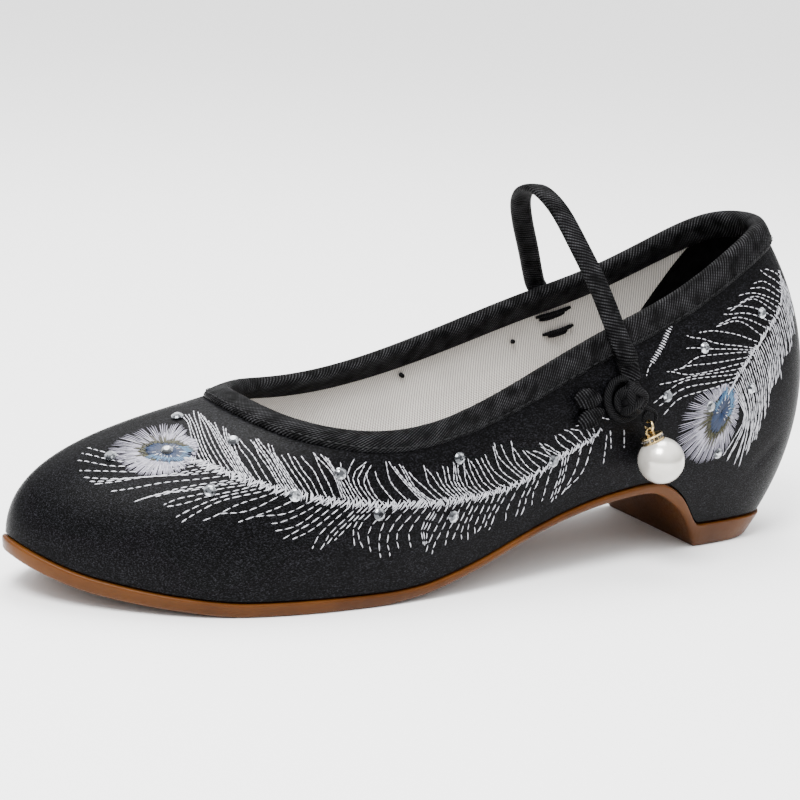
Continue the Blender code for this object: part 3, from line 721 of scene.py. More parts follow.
class Nacre(Finish):
    """Pearl lustre under a clear coat."""

    def paint(self, graph: Graph, shader: bpy.types.Node, groups: Groups) -> None:
        """Feeds a soft play of colour from noise."""
        self.colour(graph, shader, graph.spread(graph.noise(graph.spot(), 120.0, 2.0), 0.3, 0.7, 0.2, 1.0))
        radius = (2 * MM, 2 * MM, 2 * MM)
        graph.fill(shader, {"Metallic": 0.5, "Coat Weight": 0.8, "Coat Roughness": 0.12})
        graph.fill(shader, {"Subsurface Weight": 0.15, "Subsurface Radius": radius, "Subsurface Scale": 1.0})


class Stone(Finish):
    """Cut glass on a silver back, with what shows through and off the glass painted into its colour."""

    def paint(self, graph: Graph, shader: bpy.types.Node, groups: Groups) -> None:
        """Feeds a painted dark middle, a painted bright rim reflection by the angle of view, and painted
        glints over a metallic base.
        """
        glint = graph.spread(graph.noise(graph.spot(), 700.0, 1.0), 0.54, 0.64, 0.0, 1.0)
        facing = graph.add("ShaderNodeLayerWeight", {"Blend": 0.5}).outputs["Facing"]
        # Painted reflection: the colour is dark where the stone faces the camera and bright towards its rim.
        ring = graph.spread(facing, 0.18, 0.55, 0.0, 1.0)
        self.colour(graph, shader, graph.math("MAXIMUM", ring, glint))
        graph.fill(shader, {"Metallic": 0.85, "Coat Weight": 1.0, "Coat Roughness": 0.03})


class Cloth(Enum):
    """The finishes of the shoe."""

    SATIN = Satin(
        "black_satin", "satin", (0.0003, 0.0003, 0.0004), (0.0170, 0.0170, 0.0205), 0.38, 0.12 * MM, 0.045
    )
    # The light colour of the twill tape is its painted glint on the rib tops.
    TAPE = Twill(
        "black_twill", "twill", (0.0002, 0.0002, 0.0003), (0.045, 0.045, 0.048), 0.5, 0.30 * MM, 0.03,
        0.85 * MM
    )
    # The light colour of the heel twill is also its painted glint on the rib tops.
    HEEL_TWILL = Twill(
        "heel_twill", "twill", (0.0002, 0.0002, 0.0003), (0.008, 0.008, 0.009), 0.6, 0.12 * MM, 0.03,
        0.5 * MM
    )
    CANVAS = Canvas("white_canvas", "canvas", (0.16, 0.145, 0.135), (0.78, 0.75, 0.71), 0.9, 0.14 * MM, 0.2)
    RUBBER = Rubber(
        "caramel_rubber", "rubber", (0.040, 0.0115, 0.0013), (0.078, 0.0260, 0.0038), 0.36, 0.05 * MM, 0.12
    )
    SILVER = Thread("silver_thread", "satin", (0.12, 0.12, 0.14), (0.56, 0.56, 0.60), 0.38, 0.05 * MM)
    LILAC = Thread("lilac_thread", "satin", (0.07, 0.067, 0.09), (0.36, 0.345, 0.42), 0.38, 0.05 * MM)
    OLIVE = Thread(
        "olive_thread", "satin", (0.006, 0.006, 0.0025), (0.048, 0.046, 0.017), 0.42, 0.05 * MM, 0.3
    )
    BLUE = Thread(
        "blue_thread", "satin", (0.0008, 0.0030, 0.014), (0.0060, 0.022, 0.065), 0.38, 0.05 * MM, 0.3
    )
    PALE_BLUE = Thread(
        "pale_blue_thread", "satin", (0.018, 0.050, 0.10), (0.085, 0.18, 0.29), 0.38, 0.05 * MM, 0.3
    )
    BLACK_THREAD = Thread(
        "black_thread", "cord", (0.0003, 0.0003, 0.0003), (0.012, 0.012, 0.013), 0.5, 0.05 * MM, 0.1
    )
    # The cord's light colour is its painted highlight on the strand tops; the dark one is painted shade in
    # the grooves.
    CORD = Cord("black_cord", "cord", (0.0002, 0.0002, 0.0003), (0.011, 0.011, 0.012), 0.5, 0.25 * MM, 0.05)
    GOLD = Gold("gold_plate", "gold", (0.36, 0.25, 0.10), (0.76, 0.60, 0.32), 0.18)
    PEARL = Nacre("pearl_lustre", "pearl", (0.48, 0.45, 0.40), (0.70, 0.68, 0.63), 0.24)
    # The stones' light colour is their painted rim reflection and glints; the dark one is their painted dark
    # middle.
    CRYSTAL = Stone("clear_stone", "pearl", (0.03, 0.034, 0.04), (0.50, 0.52, 0.55), 0.05)
    SMOKE = Stone("smoke_stone", "pearl", (0.02, 0.018, 0.016), (0.22, 0.20, 0.18), 0.08)


class Workshop:
    """Turns meshes into finished pieces of the shoe."""

    def __init__(self) -> None:
        """Builds every finish."""
        groups = Groups()
        self.materials = {cloth: cloth.value.build(groups) for cloth in Cloth}

    def piece(
        self, bm: bmesh.types.BMesh, name: str, cloth: Cloth, body: str = "shoe", nodes: Sequence[str] = (),
        wall: float = 0.0, sharp: float = 60.0,
    ) -> bpy.types.Object:
        """Makes a piece that rides on a body.

        Args:
            bm: the mesh; it is freed.
            name: the piece's name.
            cloth: its finish.
            body: the CAD body that it moves with.
            nodes: the CAD nodes that it stands for.
            wall: thickness that is given inwards, if any.
            sharp: angle in degrees over which an edge stays sharp.

        Returns:
            The piece.
        """
        mesh = bpy.data.meshes.new(name)
        bm.to_mesh(mesh)
        bm.free()
        mesh.shade_smooth()
        mesh.set_sharp_from_angle(angle=math.radians(sharp))
        mesh.materials.append(self.materials[cloth])
        made = bpy.data.objects.new(name, mesh)
        bpy.context.scene.collection.objects.link(made)
        if wall:
            solidify = made.modifiers.new("wall", "SOLIDIFY")
            solidify.thickness = wall
            solidify.offset = -1.0
        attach(made, body)
        if nodes:
            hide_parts(*nodes)
        LOG.info("%s: %d faces", name, len(mesh.polygons))
        return made


def run_lengths(points: np.ndarray) -> np.ndarray:
    """Distance along a path at each of its points."""
    return np.concatenate([[0], np.cumsum(np.linalg.norm(np.diff(points, axis=0), axis=1))])


def loft(rows: np.ndarray, wrap_along: bool = False, wrap_round: bool = False) -> bmesh.types.BMesh:
    """Lays a grid over rows of points, with a UV map in metres.

    Args:
        rows: points, as (along, round, 3). They run so that the grid's faces point outwards.
        wrap_along: whether the last row joins the first.
        wrap_round: whether each row is a closed ring.

    Returns:
        The mesh.
    """
    if wrap_along:
        rows = np.concatenate([rows, rows[:1]], 0)
    if wrap_round:
        rows = np.concatenate([rows, rows[:, :1]], 1)
    count_s, count_t = rows.shape[0] - 1, rows.shape[1] - 1
    bm = bmesh.new()
    bmesh.ops.create_grid(bm, x_segments=count_s, y_segments=count_t, size=1.0)
    u = run_lengths(rows[:, rows.shape[1] // 2])
    v = run_lengths(rows[rows.shape[0] // 2])
    layer = bm.loops.layers.uv.new("UVMap")
    seats = {
        vert: (round((vert.co.x + 1) / 2 * count_s), round((vert.co.y + 1) / 2 * count_t))
        for vert in bm.verts
    }
    for face in bm.faces:
        for corner in face.loops:
            i, k = seats[corner.vert]
            corner[layer].uv = (u[i], v[k])
    for vert, (i, k) in seats.items():
        vert.co = rows[i, k]
    bmesh.ops.remove_doubles(bm, verts=bm.verts, dist=1e-6)
    return bm


def outward(bm: bmesh.types.BMesh) -> bmesh.types.BMesh:
    """Points a closed mesh's faces outwards."""
    bmesh.ops.recalc_face_normals(bm, faces=bm.faces)
    return bm


def spot_at(path: np.ndarray, lengths: np.ndarray, at: float) -> np.ndarray:
    """Place on a flat path at a distance along it."""
    return np.array([np.interp(at, lengths, path[:, k]) for k in (0, 1)])


def ring_angles(count: int) -> np.ndarray:
    """Equal turns round a full circle."""
    return 2 * math.pi * np.arange(count) / count


def smooth_path(points: Sequence[Sequence[float]], steps: int, closed: bool = False) -> np.ndarray:
    """A Catmull-Rom path through flat or solid points.

    Args:
        points: the points to pass through.
        steps: steps from one to the next.
        closed: whether the path comes back to its start.

    Returns:
        One point a row.
    """
    keys = np.array([tuple(p) for p in points])
    if closed:
        keys = np.concatenate([keys[-1:], keys, keys[:2]])
    else:
        keys = np.concatenate([2 * keys[:1] - keys[1:2], keys, 2 * keys[-1:] - keys[-2:-1]])
    t = (np.arange(steps) / steps)[:, None]
    parts = [
        0.5 * (2 * b + (c - a) * t + (2 * a - 5 * b + 4 * c - d) * t**2 + (3 * b - 3 * c + d - a) * t**3)
        for a, b, c, d in zip(keys, keys[1:], keys[2:], keys[3:])
    ]
    path = np.concatenate(parts)
    return path if closed else np.concatenate([path, keys[-2:-1]])


def tube(path: np.ndarray, radius: float | np.ndarray, sides: int, closed: bool = False) -> bmesh.types.BMesh:
    """A round cord along a path, closed to a point at its ends.

    Args:
        path: the cord's middle line.
        radius: its radius, or one for each point.
        sides: faces round it.
        closed: whether the path is a ring.

    Returns:
        The mesh.
    """
    radii = np.broadcast_to(np.asarray(radius, float), (len(path),)).copy()
    if closed:
        ahead = np.roll(path, -1, 0) - np.roll(path, 1, 0)
    else:
        ahead = np.gradient(path, axis=0)
        ahead = np.concatenate([ahead[:1], ahead, ahead[-1:]])
        path = np.concatenate([path[:1], path, path[-1:]])
        radii = np.concatenate([[0], radii, [0]])
    ahead /= np.linalg.norm(ahead, axis=1, keepdims=True)
    side = np.cross(ahead[0], (0.3, 0.5, 0.81))
    sides_at = []
    for direction in ahead:
        side = side - direction * np.dot(side, direction)
        side = side / np.linalg.norm(side)
        sides_at.append(side)
    side = np.array(sides_at)
    other = np.cross(ahead, side)
    angles = ring_angles(sides)
    rows = path[:, None] + radii[:, None, None] * (
        side[:, None] * np.cos(angles)[None, :, None] + other[:, None] * np.sin(angles)[None, :, None]
    )
    return outward(loft(rows, wrap_along=closed, wrap_round=True))


def merge(target: bmesh.types.BMesh, *others: bmesh.types.BMesh) -> bmesh.types.BMesh:
    """Adds meshes to a first one and frees them."""
    for other in others:
        held = bpy.data.meshes.new("held")
        other.to_mesh(held)
        other.free()
        target.from_mesh(held)
        bpy.data.meshes.remove(held)
    return target


def repeat(unit: bmesh.types.BMesh, count: int) -> bmesh.types.BMesh:
    """Puts copies of a mesh, in order, into a new one and frees the first."""
    block = bpy.data.meshes.new("block")
    unit.to_mesh(block)
    unit.free()
    bm = bmesh.new()
    for _ in range(count):
        bm.from_mesh(block)
    bpy.data.meshes.remove(block)
    return bm


class Fold(NamedTuple):
    """A soft trough of the satin: its ends as (girth, depth), half width and depth, in millimetres."""

    start: tuple[float, float]
    end: tuple[float, float]
    half_width: float
    depth: float


@dataclass
class Upper:
    """The satin wall, its canvas lining and the twill lining of the heel."""

    last: Last
    shop: Workshop
    columns: int = 520
    rows: int = 46
    hem: float = 1.3 * MM
    satin_wall: float = 0.75 * MM
    lining_off: float = 1.10 * MM
    lining_wall: float = 0.55 * MM
    under_binding: float = 5.6 * MM
    pucker: float = 0.10 * MM
    pucker_pitch: float = 3.4 * MM
    pucker_reach: float = 5.0 * MM
    folds: tuple[Fold, ...] = (
        Fold((61, 9), (57, 21), 1.5, 0.22), Fold((66.5, 8), (64, 19), 1.3, 0.20),
        Fold((88, 8), (84, 20), 1.6, 0.25),
        Fold((28, 62), (40, 66), 2.2, 0.25), Fold((-30, 60), (-44, 64), 2.2, 0.25),
        Fold((-60, 9), (-57, 22), 1.5, 0.22),
        Fold((205, 8), (222, 9), 1.8, 0.22), Fold((-205, 8), (-222, 9), 1.8, 0.22),
        Fold((9, 70), (-9, 70), 2.0, 0.2),
    )
    lining_columns: int = 220
    lining_rows: int = 30
    lining_foot: float = 1.2 * MM
    deepest: float = 0.11
    depth_steps: int = 221

    def sunk(self, us: np.ndarray, below: np.ndarray) -> np.ndarray:
        """How far the satin lies under the last: puckers along the tape and a few soft troughs.

        Args:
            us: stations.
            below: distances down from the topline.

        Returns:
            Distances, positive inwards.
        """
        girths = np.interp(
            (us + STATIONS) % (2 * STATIONS) - STATIONS, self.last.girth_stations, self.last.girths
        )
        wave = 1 - np.cos(girths * 2 * math.pi / self.pucker_pitch)
        sunk = self.pucker * 0.5 * wave * np.exp(-((below - self.under_binding) / self.pucker_reach) ** 2)
        for fold in self.folds:
            start, end = np.array(fold.start) * MM, np.array(fold.end) * MM
            way = end - start
            spot = np.stack([girths - start[0], below - start[1]], -1)
            share = np.clip(spot @ way / (way @ way), 0, 1)
            far = np.linalg.norm(spot - share[..., None] * way, axis=-1)
            ease = np.sin(math.pi * np.clip(share, 0.02, 0.98)) ** 0.5
            sunk = sunk + fold.depth * MM * ease * np.exp(-((far / (fold.half_width * MM)) ** 2))
        return sunk

    def stations(self) -> np.ndarray:
        """Columns of the mesh round the shoe, denser at the heel and toe."""
        s = np.arange(self.columns) / self.columns * 2 * STATIONS
        return s - 0.28 * np.sin(s * 2 * math.pi / STATIONS)

    def satin(self) -> None:
        """Lays the satin from its turned hem on the sole to under the binding."""
        us = self.stations()
        bottom = self.last.share_at(us, SOLE_LINES.welt)
        top = self.last.share_below(us, self.under_binding)
        rows = [self.last.off(us, bottom + 0.002, -self.hem)]
        rows.append(self.last.off(us, bottom, -0.35 * self.hem))
        rise = np.linspace(0, 1, self.rows)
        rise[1] = 0.35 * rise[1]
        depths = np.linspace(0, self.deepest, self.depth_steps)
        tables = self.last.shares_below(us, depths)
        for t in rise:
            share = bottom + t * (top - bottom) + (0 if t else 0.004)
            below = np.array([np.interp(-w, -table, depths) for w, table in zip(share, tables)])
            rows.append(self.last.off(us, share, -self.sunk(us, below)))
        bm = loft(np.stack(rows, 1), wrap_along=True)
        bmesh.ops.reverse_faces(bm, faces=bm.faces)
        self.shop.piece(bm, "satin_upper", Cloth.SATIN, nodes=("upper",), wall=self.satin_wall)

    def lining(
        self, name: str, cloth: Cloth, middle: float, low_half: float, high_half: float, off: float,
        wall: float
    ) -> None:
        """Lays one lining inside the wall.

        Args:
            name: the piece's name.
            cloth: its finish.
            middle: station in its middle.
            low_half: stations from there to its ends along the sole.
            high_half: stations from there to its ends along the collar.
            off: how far inside the satin's face its outer side lies.
            wall: its thickness.
        """
        reach = np.linspace(-1, 1, self.lining_columns)
        rows = []
        for t in np.linspace(0, 1, self.lining_rows):
            us = middle + reach * (high_half + (low_half - high_half) * math.sqrt(1 - t))
            bottom = self.last.share_at(us, lambda a: SOLE_LINES.seat(a) + self.lining_foot)
            top = self.last.share_below(us, self.under_binding)
            rows.append(self.last.off(us, bottom + t * (top - bottom), -off))
        bm = loft(np.stack(rows, 1))
        bmesh.ops.reverse_faces(bm, faces=bm.faces)
        self.shop.piece(bm, name, cloth, wall=wall)

    def build(self) -> None:
        """Makes the pieces."""
        self.satin()
        self.lining("canvas_lining", Cloth.CANVAS, STATIONS, 8.7, 8.7, self.lining_off, self.lining_wall)
        off = self.lining_off + self.lining_wall + 0.05 * MM
        self.lining("heel_lining", Cloth.HEEL_TWILL, 0.0, 3.0, 1.62, off, 0.4 * MM)


@dataclass
class Binding:
    """The puffy tape folded over the collar's edge."""

    last: Last
    shop: Workshop
    columns: int = 420
    seam_depth: float = 5.6
    seam_pitch: float = 2.9
    seam_rest: float = 1.25

    def section(self) -> np.ndarray:
        """The tape's section in metres: height over the collar's edge, and distance off the satin's face."""
        outer = (
            (-6.6, -0.25), (-6.65, 0.30), (-6.2, 0.95), (-5.0, 1.40), (-3.2, 1.66), (-1.2, 1.72),
            (0.3, 1.50)
        )
        crown = ((1.20, 0.75), (1.62, -0.30), (1.66, -1.40), (1.25, -2.45), (0.35, -3.15))
        inner = ((-1.2, -3.40), (-3.4, -3.42), (-5.4, -3.20), (-6.35, -2.60), (-6.55, -1.70), (-6.5, -0.90))
        return smooth_path(outer + crown + inner, 2, closed=True) * MM

    def build(self) -> None:
        """Sweeps the section round the topline."""
        us = np.linspace(0, 2 * STATIONS, self.columns, endpoint=False)
        ones = np.ones(len(us))
        edge = self.last.points(us, ones)
        rise = edge - self.last.points(us, 0.99 * ones)
        rise /= np.linalg.norm(rise, axis=1, keepdims=True)
        normal = self.last.normals(us, ones)
        rows = []
        for height, offset in self.section():
            if height >= 0:
                rows.append(edge + height * rise + offset * normal)
            else:
                rows.append(self.last.off(us, self.last.share_below(us, -height), offset))
        bm = outward(loft(np.stack(rows, 1), wrap_along=True, wrap_round=True))
        self.shop.piece(bm, "topline_tape", Cloth.TAPE, nodes=("topline_binding",))

    def seam(self) -> None:
        """Sews the tape's lower edge with black thread."""
        needle = Needle(self.last, 71, rest=self.seam_rest)
        ends = self.last.girths[[0, -1]] / MM
        count = round((ends[1] - ends[0]) / self.seam_pitch)
        for girth in np.linspace(ends[0], ends[1], count, endpoint=False):
            needle.lay((girth, self.seam_depth), (girth + 0.78 * self.seam_pitch, self.seam_depth), 0.42, 0.2)
        self.shop.piece(needle.sewn(), "tape_seam", Cloth.BLACK_THREAD)


@dataclass
class Sole:
    """The rubber unit and the canvas sock inside the shoe."""

    last: Last
    shop: Workshop
    columns: int = 260
    lip: float = 0.9 * MM
    wall: float = 1.8 * MM
    gap: float = 0.45 * MM
    round_edge: float = 0.8 * MM
    hollow: float = 3.5 * MM
    sock: float = 2.4 * MM
    sock_low: float = 0.35 * MM
    sock_edge: float = 1.95 * MM
    sole_strips: int = 24
    sock_strips: int = 12
    breast_span: tuple[float, float, float] = (0.176, 0.215, 0.270)

    def level_rings(
        self, rows: Sequence[tuple[Callable[[np.ndarray], np.ndarray], float, float]]
    ) -> list[np.ndarray]:
        """Rings round the wall, each at a height line plus a rise and off the satin's face by an offset."""
        us = np.arange(self.columns) / self.columns * 2 * STATIONS
        return [
            self.last.off_level(us, self.last.share_at(us, lambda a: line(a) + rise), offset)
            for line, rise, offset in rows
        ]

    def breast(self, along: np.ndarray, across: np.ndarray) -> np.ndarray:
        """How far the hollow face of the heel's breast rises between its rims."""
        share = along / SHOE_LENGTH
        start, top, end = self.breast_span
        rise = np.where(share < top, (share - start) / (top - start), (end - share) / (end - top))
        rise = np.clip(rise, 0, 1)
        return self.hollow * np.sin(0.5 * math.pi * rise) * (1 - (2 * across - 1) ** 4)

    def filled(self, rings: list[np.ndarray], strips: int, with_breast: bool) -> bmesh.types.BMesh:
        """Lofts rings into a solid, with its two ends closed by strips across the shoe.

        Args:
            rings: closed rings from the underside up.
            strips: strips across each end.
            with_breast: whether the underside is hollowed at the heel's breast.

        Returns:
            The mesh.
        """
        wall = loft(np.stack(rings, 1), wrap_along=True)
        half = self.columns // 2
        parts = []
        for ring, under in ((rings[0], with_breast), (rings[-1], False)):
            outer = ring[: half + 1]
            inner = np.concatenate([ring[:1], ring[:half - 1:-1]])
            t = np.linspace(0, 1, strips + 1)[None, :, None]
            rows = outer[:, None] * (1 - t) + inner[:, None] * t
            if under:
                rows[..., 2] += self.breast(
                    HEEL_REST_ALONG - rows[..., 0], np.broadcast_to(t[..., 0], rows.shape[:2])
                )
            parts.append(loft(rows))
        bm = merge(wall, *parts)
        bmesh.ops.remove_doubles(bm, verts=bm.verts, dist=1e-6)
        return outward(bm)

    def build(self) -> None:
        """Makes the rubber and the sock."""
        ground, ledge, seat = SOLE_LINES.ground, SOLE_LINES.ledge, SOLE_LINES.seat
        soft, lip = self.round_edge, self.lip
        inside = -(self.wall + self.gap)
        rubber = self.level_rings((
            (ground, 0, lip - soft),
            (ground, 0.3 * soft, lip - 0.3 * soft),
            (ground, soft, lip),
            (ledge, -soft, lip),
            (ledge, -0.3 * soft, lip - 0.12 * soft),
            (ledge, 0, lip - 0.5 * soft),
            (ledge, 0, inside),
            (seat, 0, inside),
        ))
        sole = self.filled(rubber, self.sole_strips, True)
        self.shop.piece(sole, "rubber_sole", Cloth.RUBBER, nodes=("outsole",), sharp=50)
        low, top, edge = self.sock_low, self.sock_low + self.sock, -self.sock_edge
        canvas = self.level_rings((
            (seat, low, edge),
            (seat, top - 0.7 * MM, edge),
            (seat, top - 0.2 * MM, edge - 0.25 * MM),
            (seat, top, edge - 0.8 * MM),
        ))
        sock = self.filled(canvas, self.sock_strips, False)
        self.shop.piece(sock, "canvas_sock", Cloth.CANVAS, nodes=("insole",), sharp=50)


class StrapPoint(NamedTuple):
    """A point of the strap's arch, in shares of the length, ball width and collar height."""

    along: float
    across: float
    height: float


class StrapEnd(NamedTuple):
    """A point of the strap on the wall: share of the length, depth in binding depths, what is under it."""

    along: float
    depth: float
    over_binding: bool


@dataclass
class Strap:
    """The instep strap, and the cord loop at its outer end."""

    last: Last
    shop: Workshop
    knot: Matrix
    width: float = 6.2 * MM
    thickness: float = 2.6 * MM
    loop_radius: float = 5.5 * MM
    loop_cord: float = 1.2 * MM
    fit: float = 0.35 * MM
    binding_depth: float = 6.6 * MM
    binding_proud: float = 1.75 * MM
    sides: int = 28
    arch: tuple[StrapPoint, ...] = (
        StrapPoint(0.302, 0.338, 0.797),
        StrapPoint(0.328, 0.266, 0.908),
        StrapPoint(0.357, 0.182, 1.021),
        StrapPoint(0.374, 0.118, 1.095),
        StrapPoint(0.381, 0.048, 1.138),
        StrapPoint(0.380, -0.038, 1.145),
        StrapPoint(0.374, -0.135, 1.098),
        StrapPoint(0.365, -0.231, 1.003),
        StrapPoint(0.349, -0.314, 0.875),
    )
    inner_end: tuple[StrapEnd, ...] = (
        StrapEnd(0.266, 2.30, False),
        StrapEnd(0.275, 1.60, False),
        StrapEnd(0.283, 1.06, True),
        StrapEnd(0.290, 0.35, True),
    )
    outer_end: tuple[StrapEnd, ...] = (
        StrapEnd(0.327, 0.35, True),
        StrapEnd(0.321, 1.06, True),
        StrapEnd(0.314, 1.55, False),
    )

    def end_point(self, end: StrapEnd, outer: bool) -> np.ndarray:
        """The strap's middle where it lies on the wall or the binding."""
        u, _ = self.last.side_place(end.along * SHOE_LENGTH, 0.6 * COLLAR_HEIGHT, outer)
        under = 1.1 * self.binding_proud + self.fit if end.over_binding else self.fit
        w = self.last.share_below(np.array([u]), end.depth * self.binding_depth)
        return self.last.off(np.array([u]), w, under + self.thickness / 2)[0]

    def middle_line(self) -> np.ndarray:
        """The strap's middle line from its sewn inner end to its loop."""
        inner = [self.end_point(end, False) for end in self.inner_end]
        arch = [
            (HEEL_REST_ALONG - p.along * SHOE_LENGTH, p.across * BALL_WIDTH, p.height * COLLAR_HEIGHT)
            for p in self.arch
        ]
        outer = [self.end_point(end, True) for end in self.outer_end]
        meet = self.knot @ Vector(
            (0.5 * self.loop_radius, 0.87 * self.loop_radius, self.thickness / 2 + self.fit)
        )
        return smooth_path(inner + arch + outer + [meet], 10)

    def tape(self) -> bmesh.types.BMesh:
        """Sweeps the folded tape, with its fold along one side and its seam along the other."""
        path = self.middle_line()
        ahead = np.gradient(path, axis=0)
        ahead /= np.linalg.norm(ahead, axis=1, keepdims=True)
        side = np.array((1.0, 0, 0)) - ahead * ahead[:, :1]
        side /= np.linalg.norm(side, axis=1, keepdims=True)
        face = np.cross(ahead, side)
        angles = ring_angles(self.sides)
        flat = np.sign(np.cos(angles)) * np.abs(np.cos(angles)) ** 0.75
        bulge = np.sign(np.sin(angles)) * np.abs(np.sin(angles)) ** 0.75
        bulge *= 1 - 0.22 * np.exp(-((flat - 0.45) / 0.10) ** 2)
        rows = path[:, None] + side[:, None] * (flat * self.width / 2)[None, :, None]
        rows = rows + face[:, None] * (bulge * self.thickness / 2)[None, :, None]
        ends = [np.repeat(spot[None, None], self.sides, 1) for spot in (path[0], path[-1])]
        rows = np.concatenate([ends[0], rows, ends[1]])
        return outward(loft(rows, wrap_round=True))

    def build(self) -> None:
        """Makes the strap and its loop."""
        self.shop.piece(self.tape(), "instep_strap", Cloth.TAPE, nodes=("strap",))
        rise = self.loop_cord + self.fit
        ring = [
            self.knot @ Vector((self.loop_radius * math.cos(a), self.loop_radius * math.sin(a), rise))
            for a in ring_angles(72)
        ]
        loop = tube(np.array([tuple(p) for p in ring]), self.loop_cord, 14, closed=True)
        self.shop.piece(loop, "strap_loop", Cloth.CORD)


@dataclass
class Knot:
    """The button knot of woven cord, the bow lobes beside it and the thread loop under it."""

    shop: Workshop
    frame: Matrix
    pivot: Vector
    ball: float = 3.45 * MM
    cord: float = 1.20 * MM
    ring: float = 3.1 * MM
    ring_cord: float = 1.6 * MM
    fit: float = 0.35 * MM
    thread: float = 0.5 * MM
    thread_loop: float = 2.2 * MM
    lobe_length: float = 9.5 * MM
    lobe_width: float = 5.8 * MM
    lobe_thickness: float = 2.6 * MM
    loop_reach: float = 7.4 * MM

    def centre(self) -> Vector:
        """Middle of the knot."""
        return self.frame @ Vector((0, 0, self.fit + self.ring + self.ring_cord))

    def ball_cord(self) -> bmesh.types.BMesh:
        """One closed cord woven over and under itself round a ball."""
        t = ring_angles(420)
        leads, bights = 4, 3
        tilt = math.radians(62) * np.sin(bights * t)
        turn = leads * t
        reach = self.ball + 0.42 * self.cord * np.cos(bights * leads * t * 0.5 + 0.6)
        x = reach * np.cos(tilt) * np.cos(turn)
        y = reach * np.cos(tilt) * np.sin(turn)
        z = reach * np.sin(tilt)
        spin = Matrix.Rotation(math.radians(35), 4, "X") @ Matrix.Rotation(math.radians(20), 4, "Y")
        turned = self.frame.to_3x3() @ spin.to_3x3()
        path = np.stack([x, y, z], 1) @ np.array(turned).T + np.array(self.centre())
        return tube(path, self.cord, 12, closed=True)

    def lobe(self, angle: float) -> bmesh.types.BMesh:
        """One padded lobe with gathered pleats, that lies on the satin."""
        bm = bmesh.new()
        bmesh.ops.create_uvsphere(bm, u_segments=40, v_segments=24, radius=1.0)
        for vert in bm.verts:
            x, y, z = vert.co
            pleat = 0.10 * math.sin(9 * y + 2.5 * x) * (1 - x * x)
            pinch = 1 - 0.45 * max(0.0, -x) ** 1.5
            vert.co = (x, y * pinch, (z + pleat * (1 if z > 0 else 0)) * pinch)
        turned = Matrix.Rotation(math.radians(angle), 4, "Z")
        at = Matrix.Translation(
            (self.loop_reach + self.lobe_length / 2, 0, self.lobe_thickness / 2 + self.fit)
        )
        stretch = Matrix.Diagonal((self.lobe_length / 2, self.lobe_width / 2, self.lobe_thickness / 2, 1.0))
        bm.transform(self.frame @ turned @ at @ stretch)
        layer = bm.loops.layers.uv.new("UVMap")
        inverse = self.frame.inverted()
        for face in bm.faces:
            for corner in face.loops:
                corner[layer].uv = (inverse @ corner.vert.co).xy
        return bm

    def build(self) -> None:
        """Makes the knot, its stem, the lobes and the thread loop."""
        core = bmesh.new()
        bmesh.ops.create_icosphere(
            core, subdivisions=3, radius=self.ball, matrix=Matrix.Translation(self.centre())
        )
        foot = self.frame @ Vector((0, 0, self.fit))
        stem = tube(np.linspace(tuple(foot), tuple(self.centre()), 6), self.ring_cord, 12)
        self.shop.piece(
            merge(self.ball_cord(), stem, core), "button_knot_cord", Cloth.CORD, nodes=("button_knot",)
        )
        self.shop.piece(
            merge(self.lobe(176.0), self.lobe(201.0)), "bow_lobe_pair", Cloth.TAPE, nodes=("bow_lobes",)
        )
        middle = self.pivot + Vector((0, 0, self.thread_loop))
        loop = [middle + self.thread_loop * Vector((math.cos(a), 0, math.sin(a))) for a in ring_angles(40)]
        top = self.pivot + Vector((0, 0, 2 * self.thread_loop))
        tie = tube(np.linspace(tuple(top), tuple(self.centre()), 12), 1.5 * self.thread, 8)
        ring = tube(np.array([tuple(p) for p in loop]), self.thread, 8, closed=True)
        self.shop.piece(merge(ring, tie), "thread_loop", Cloth.CORD)


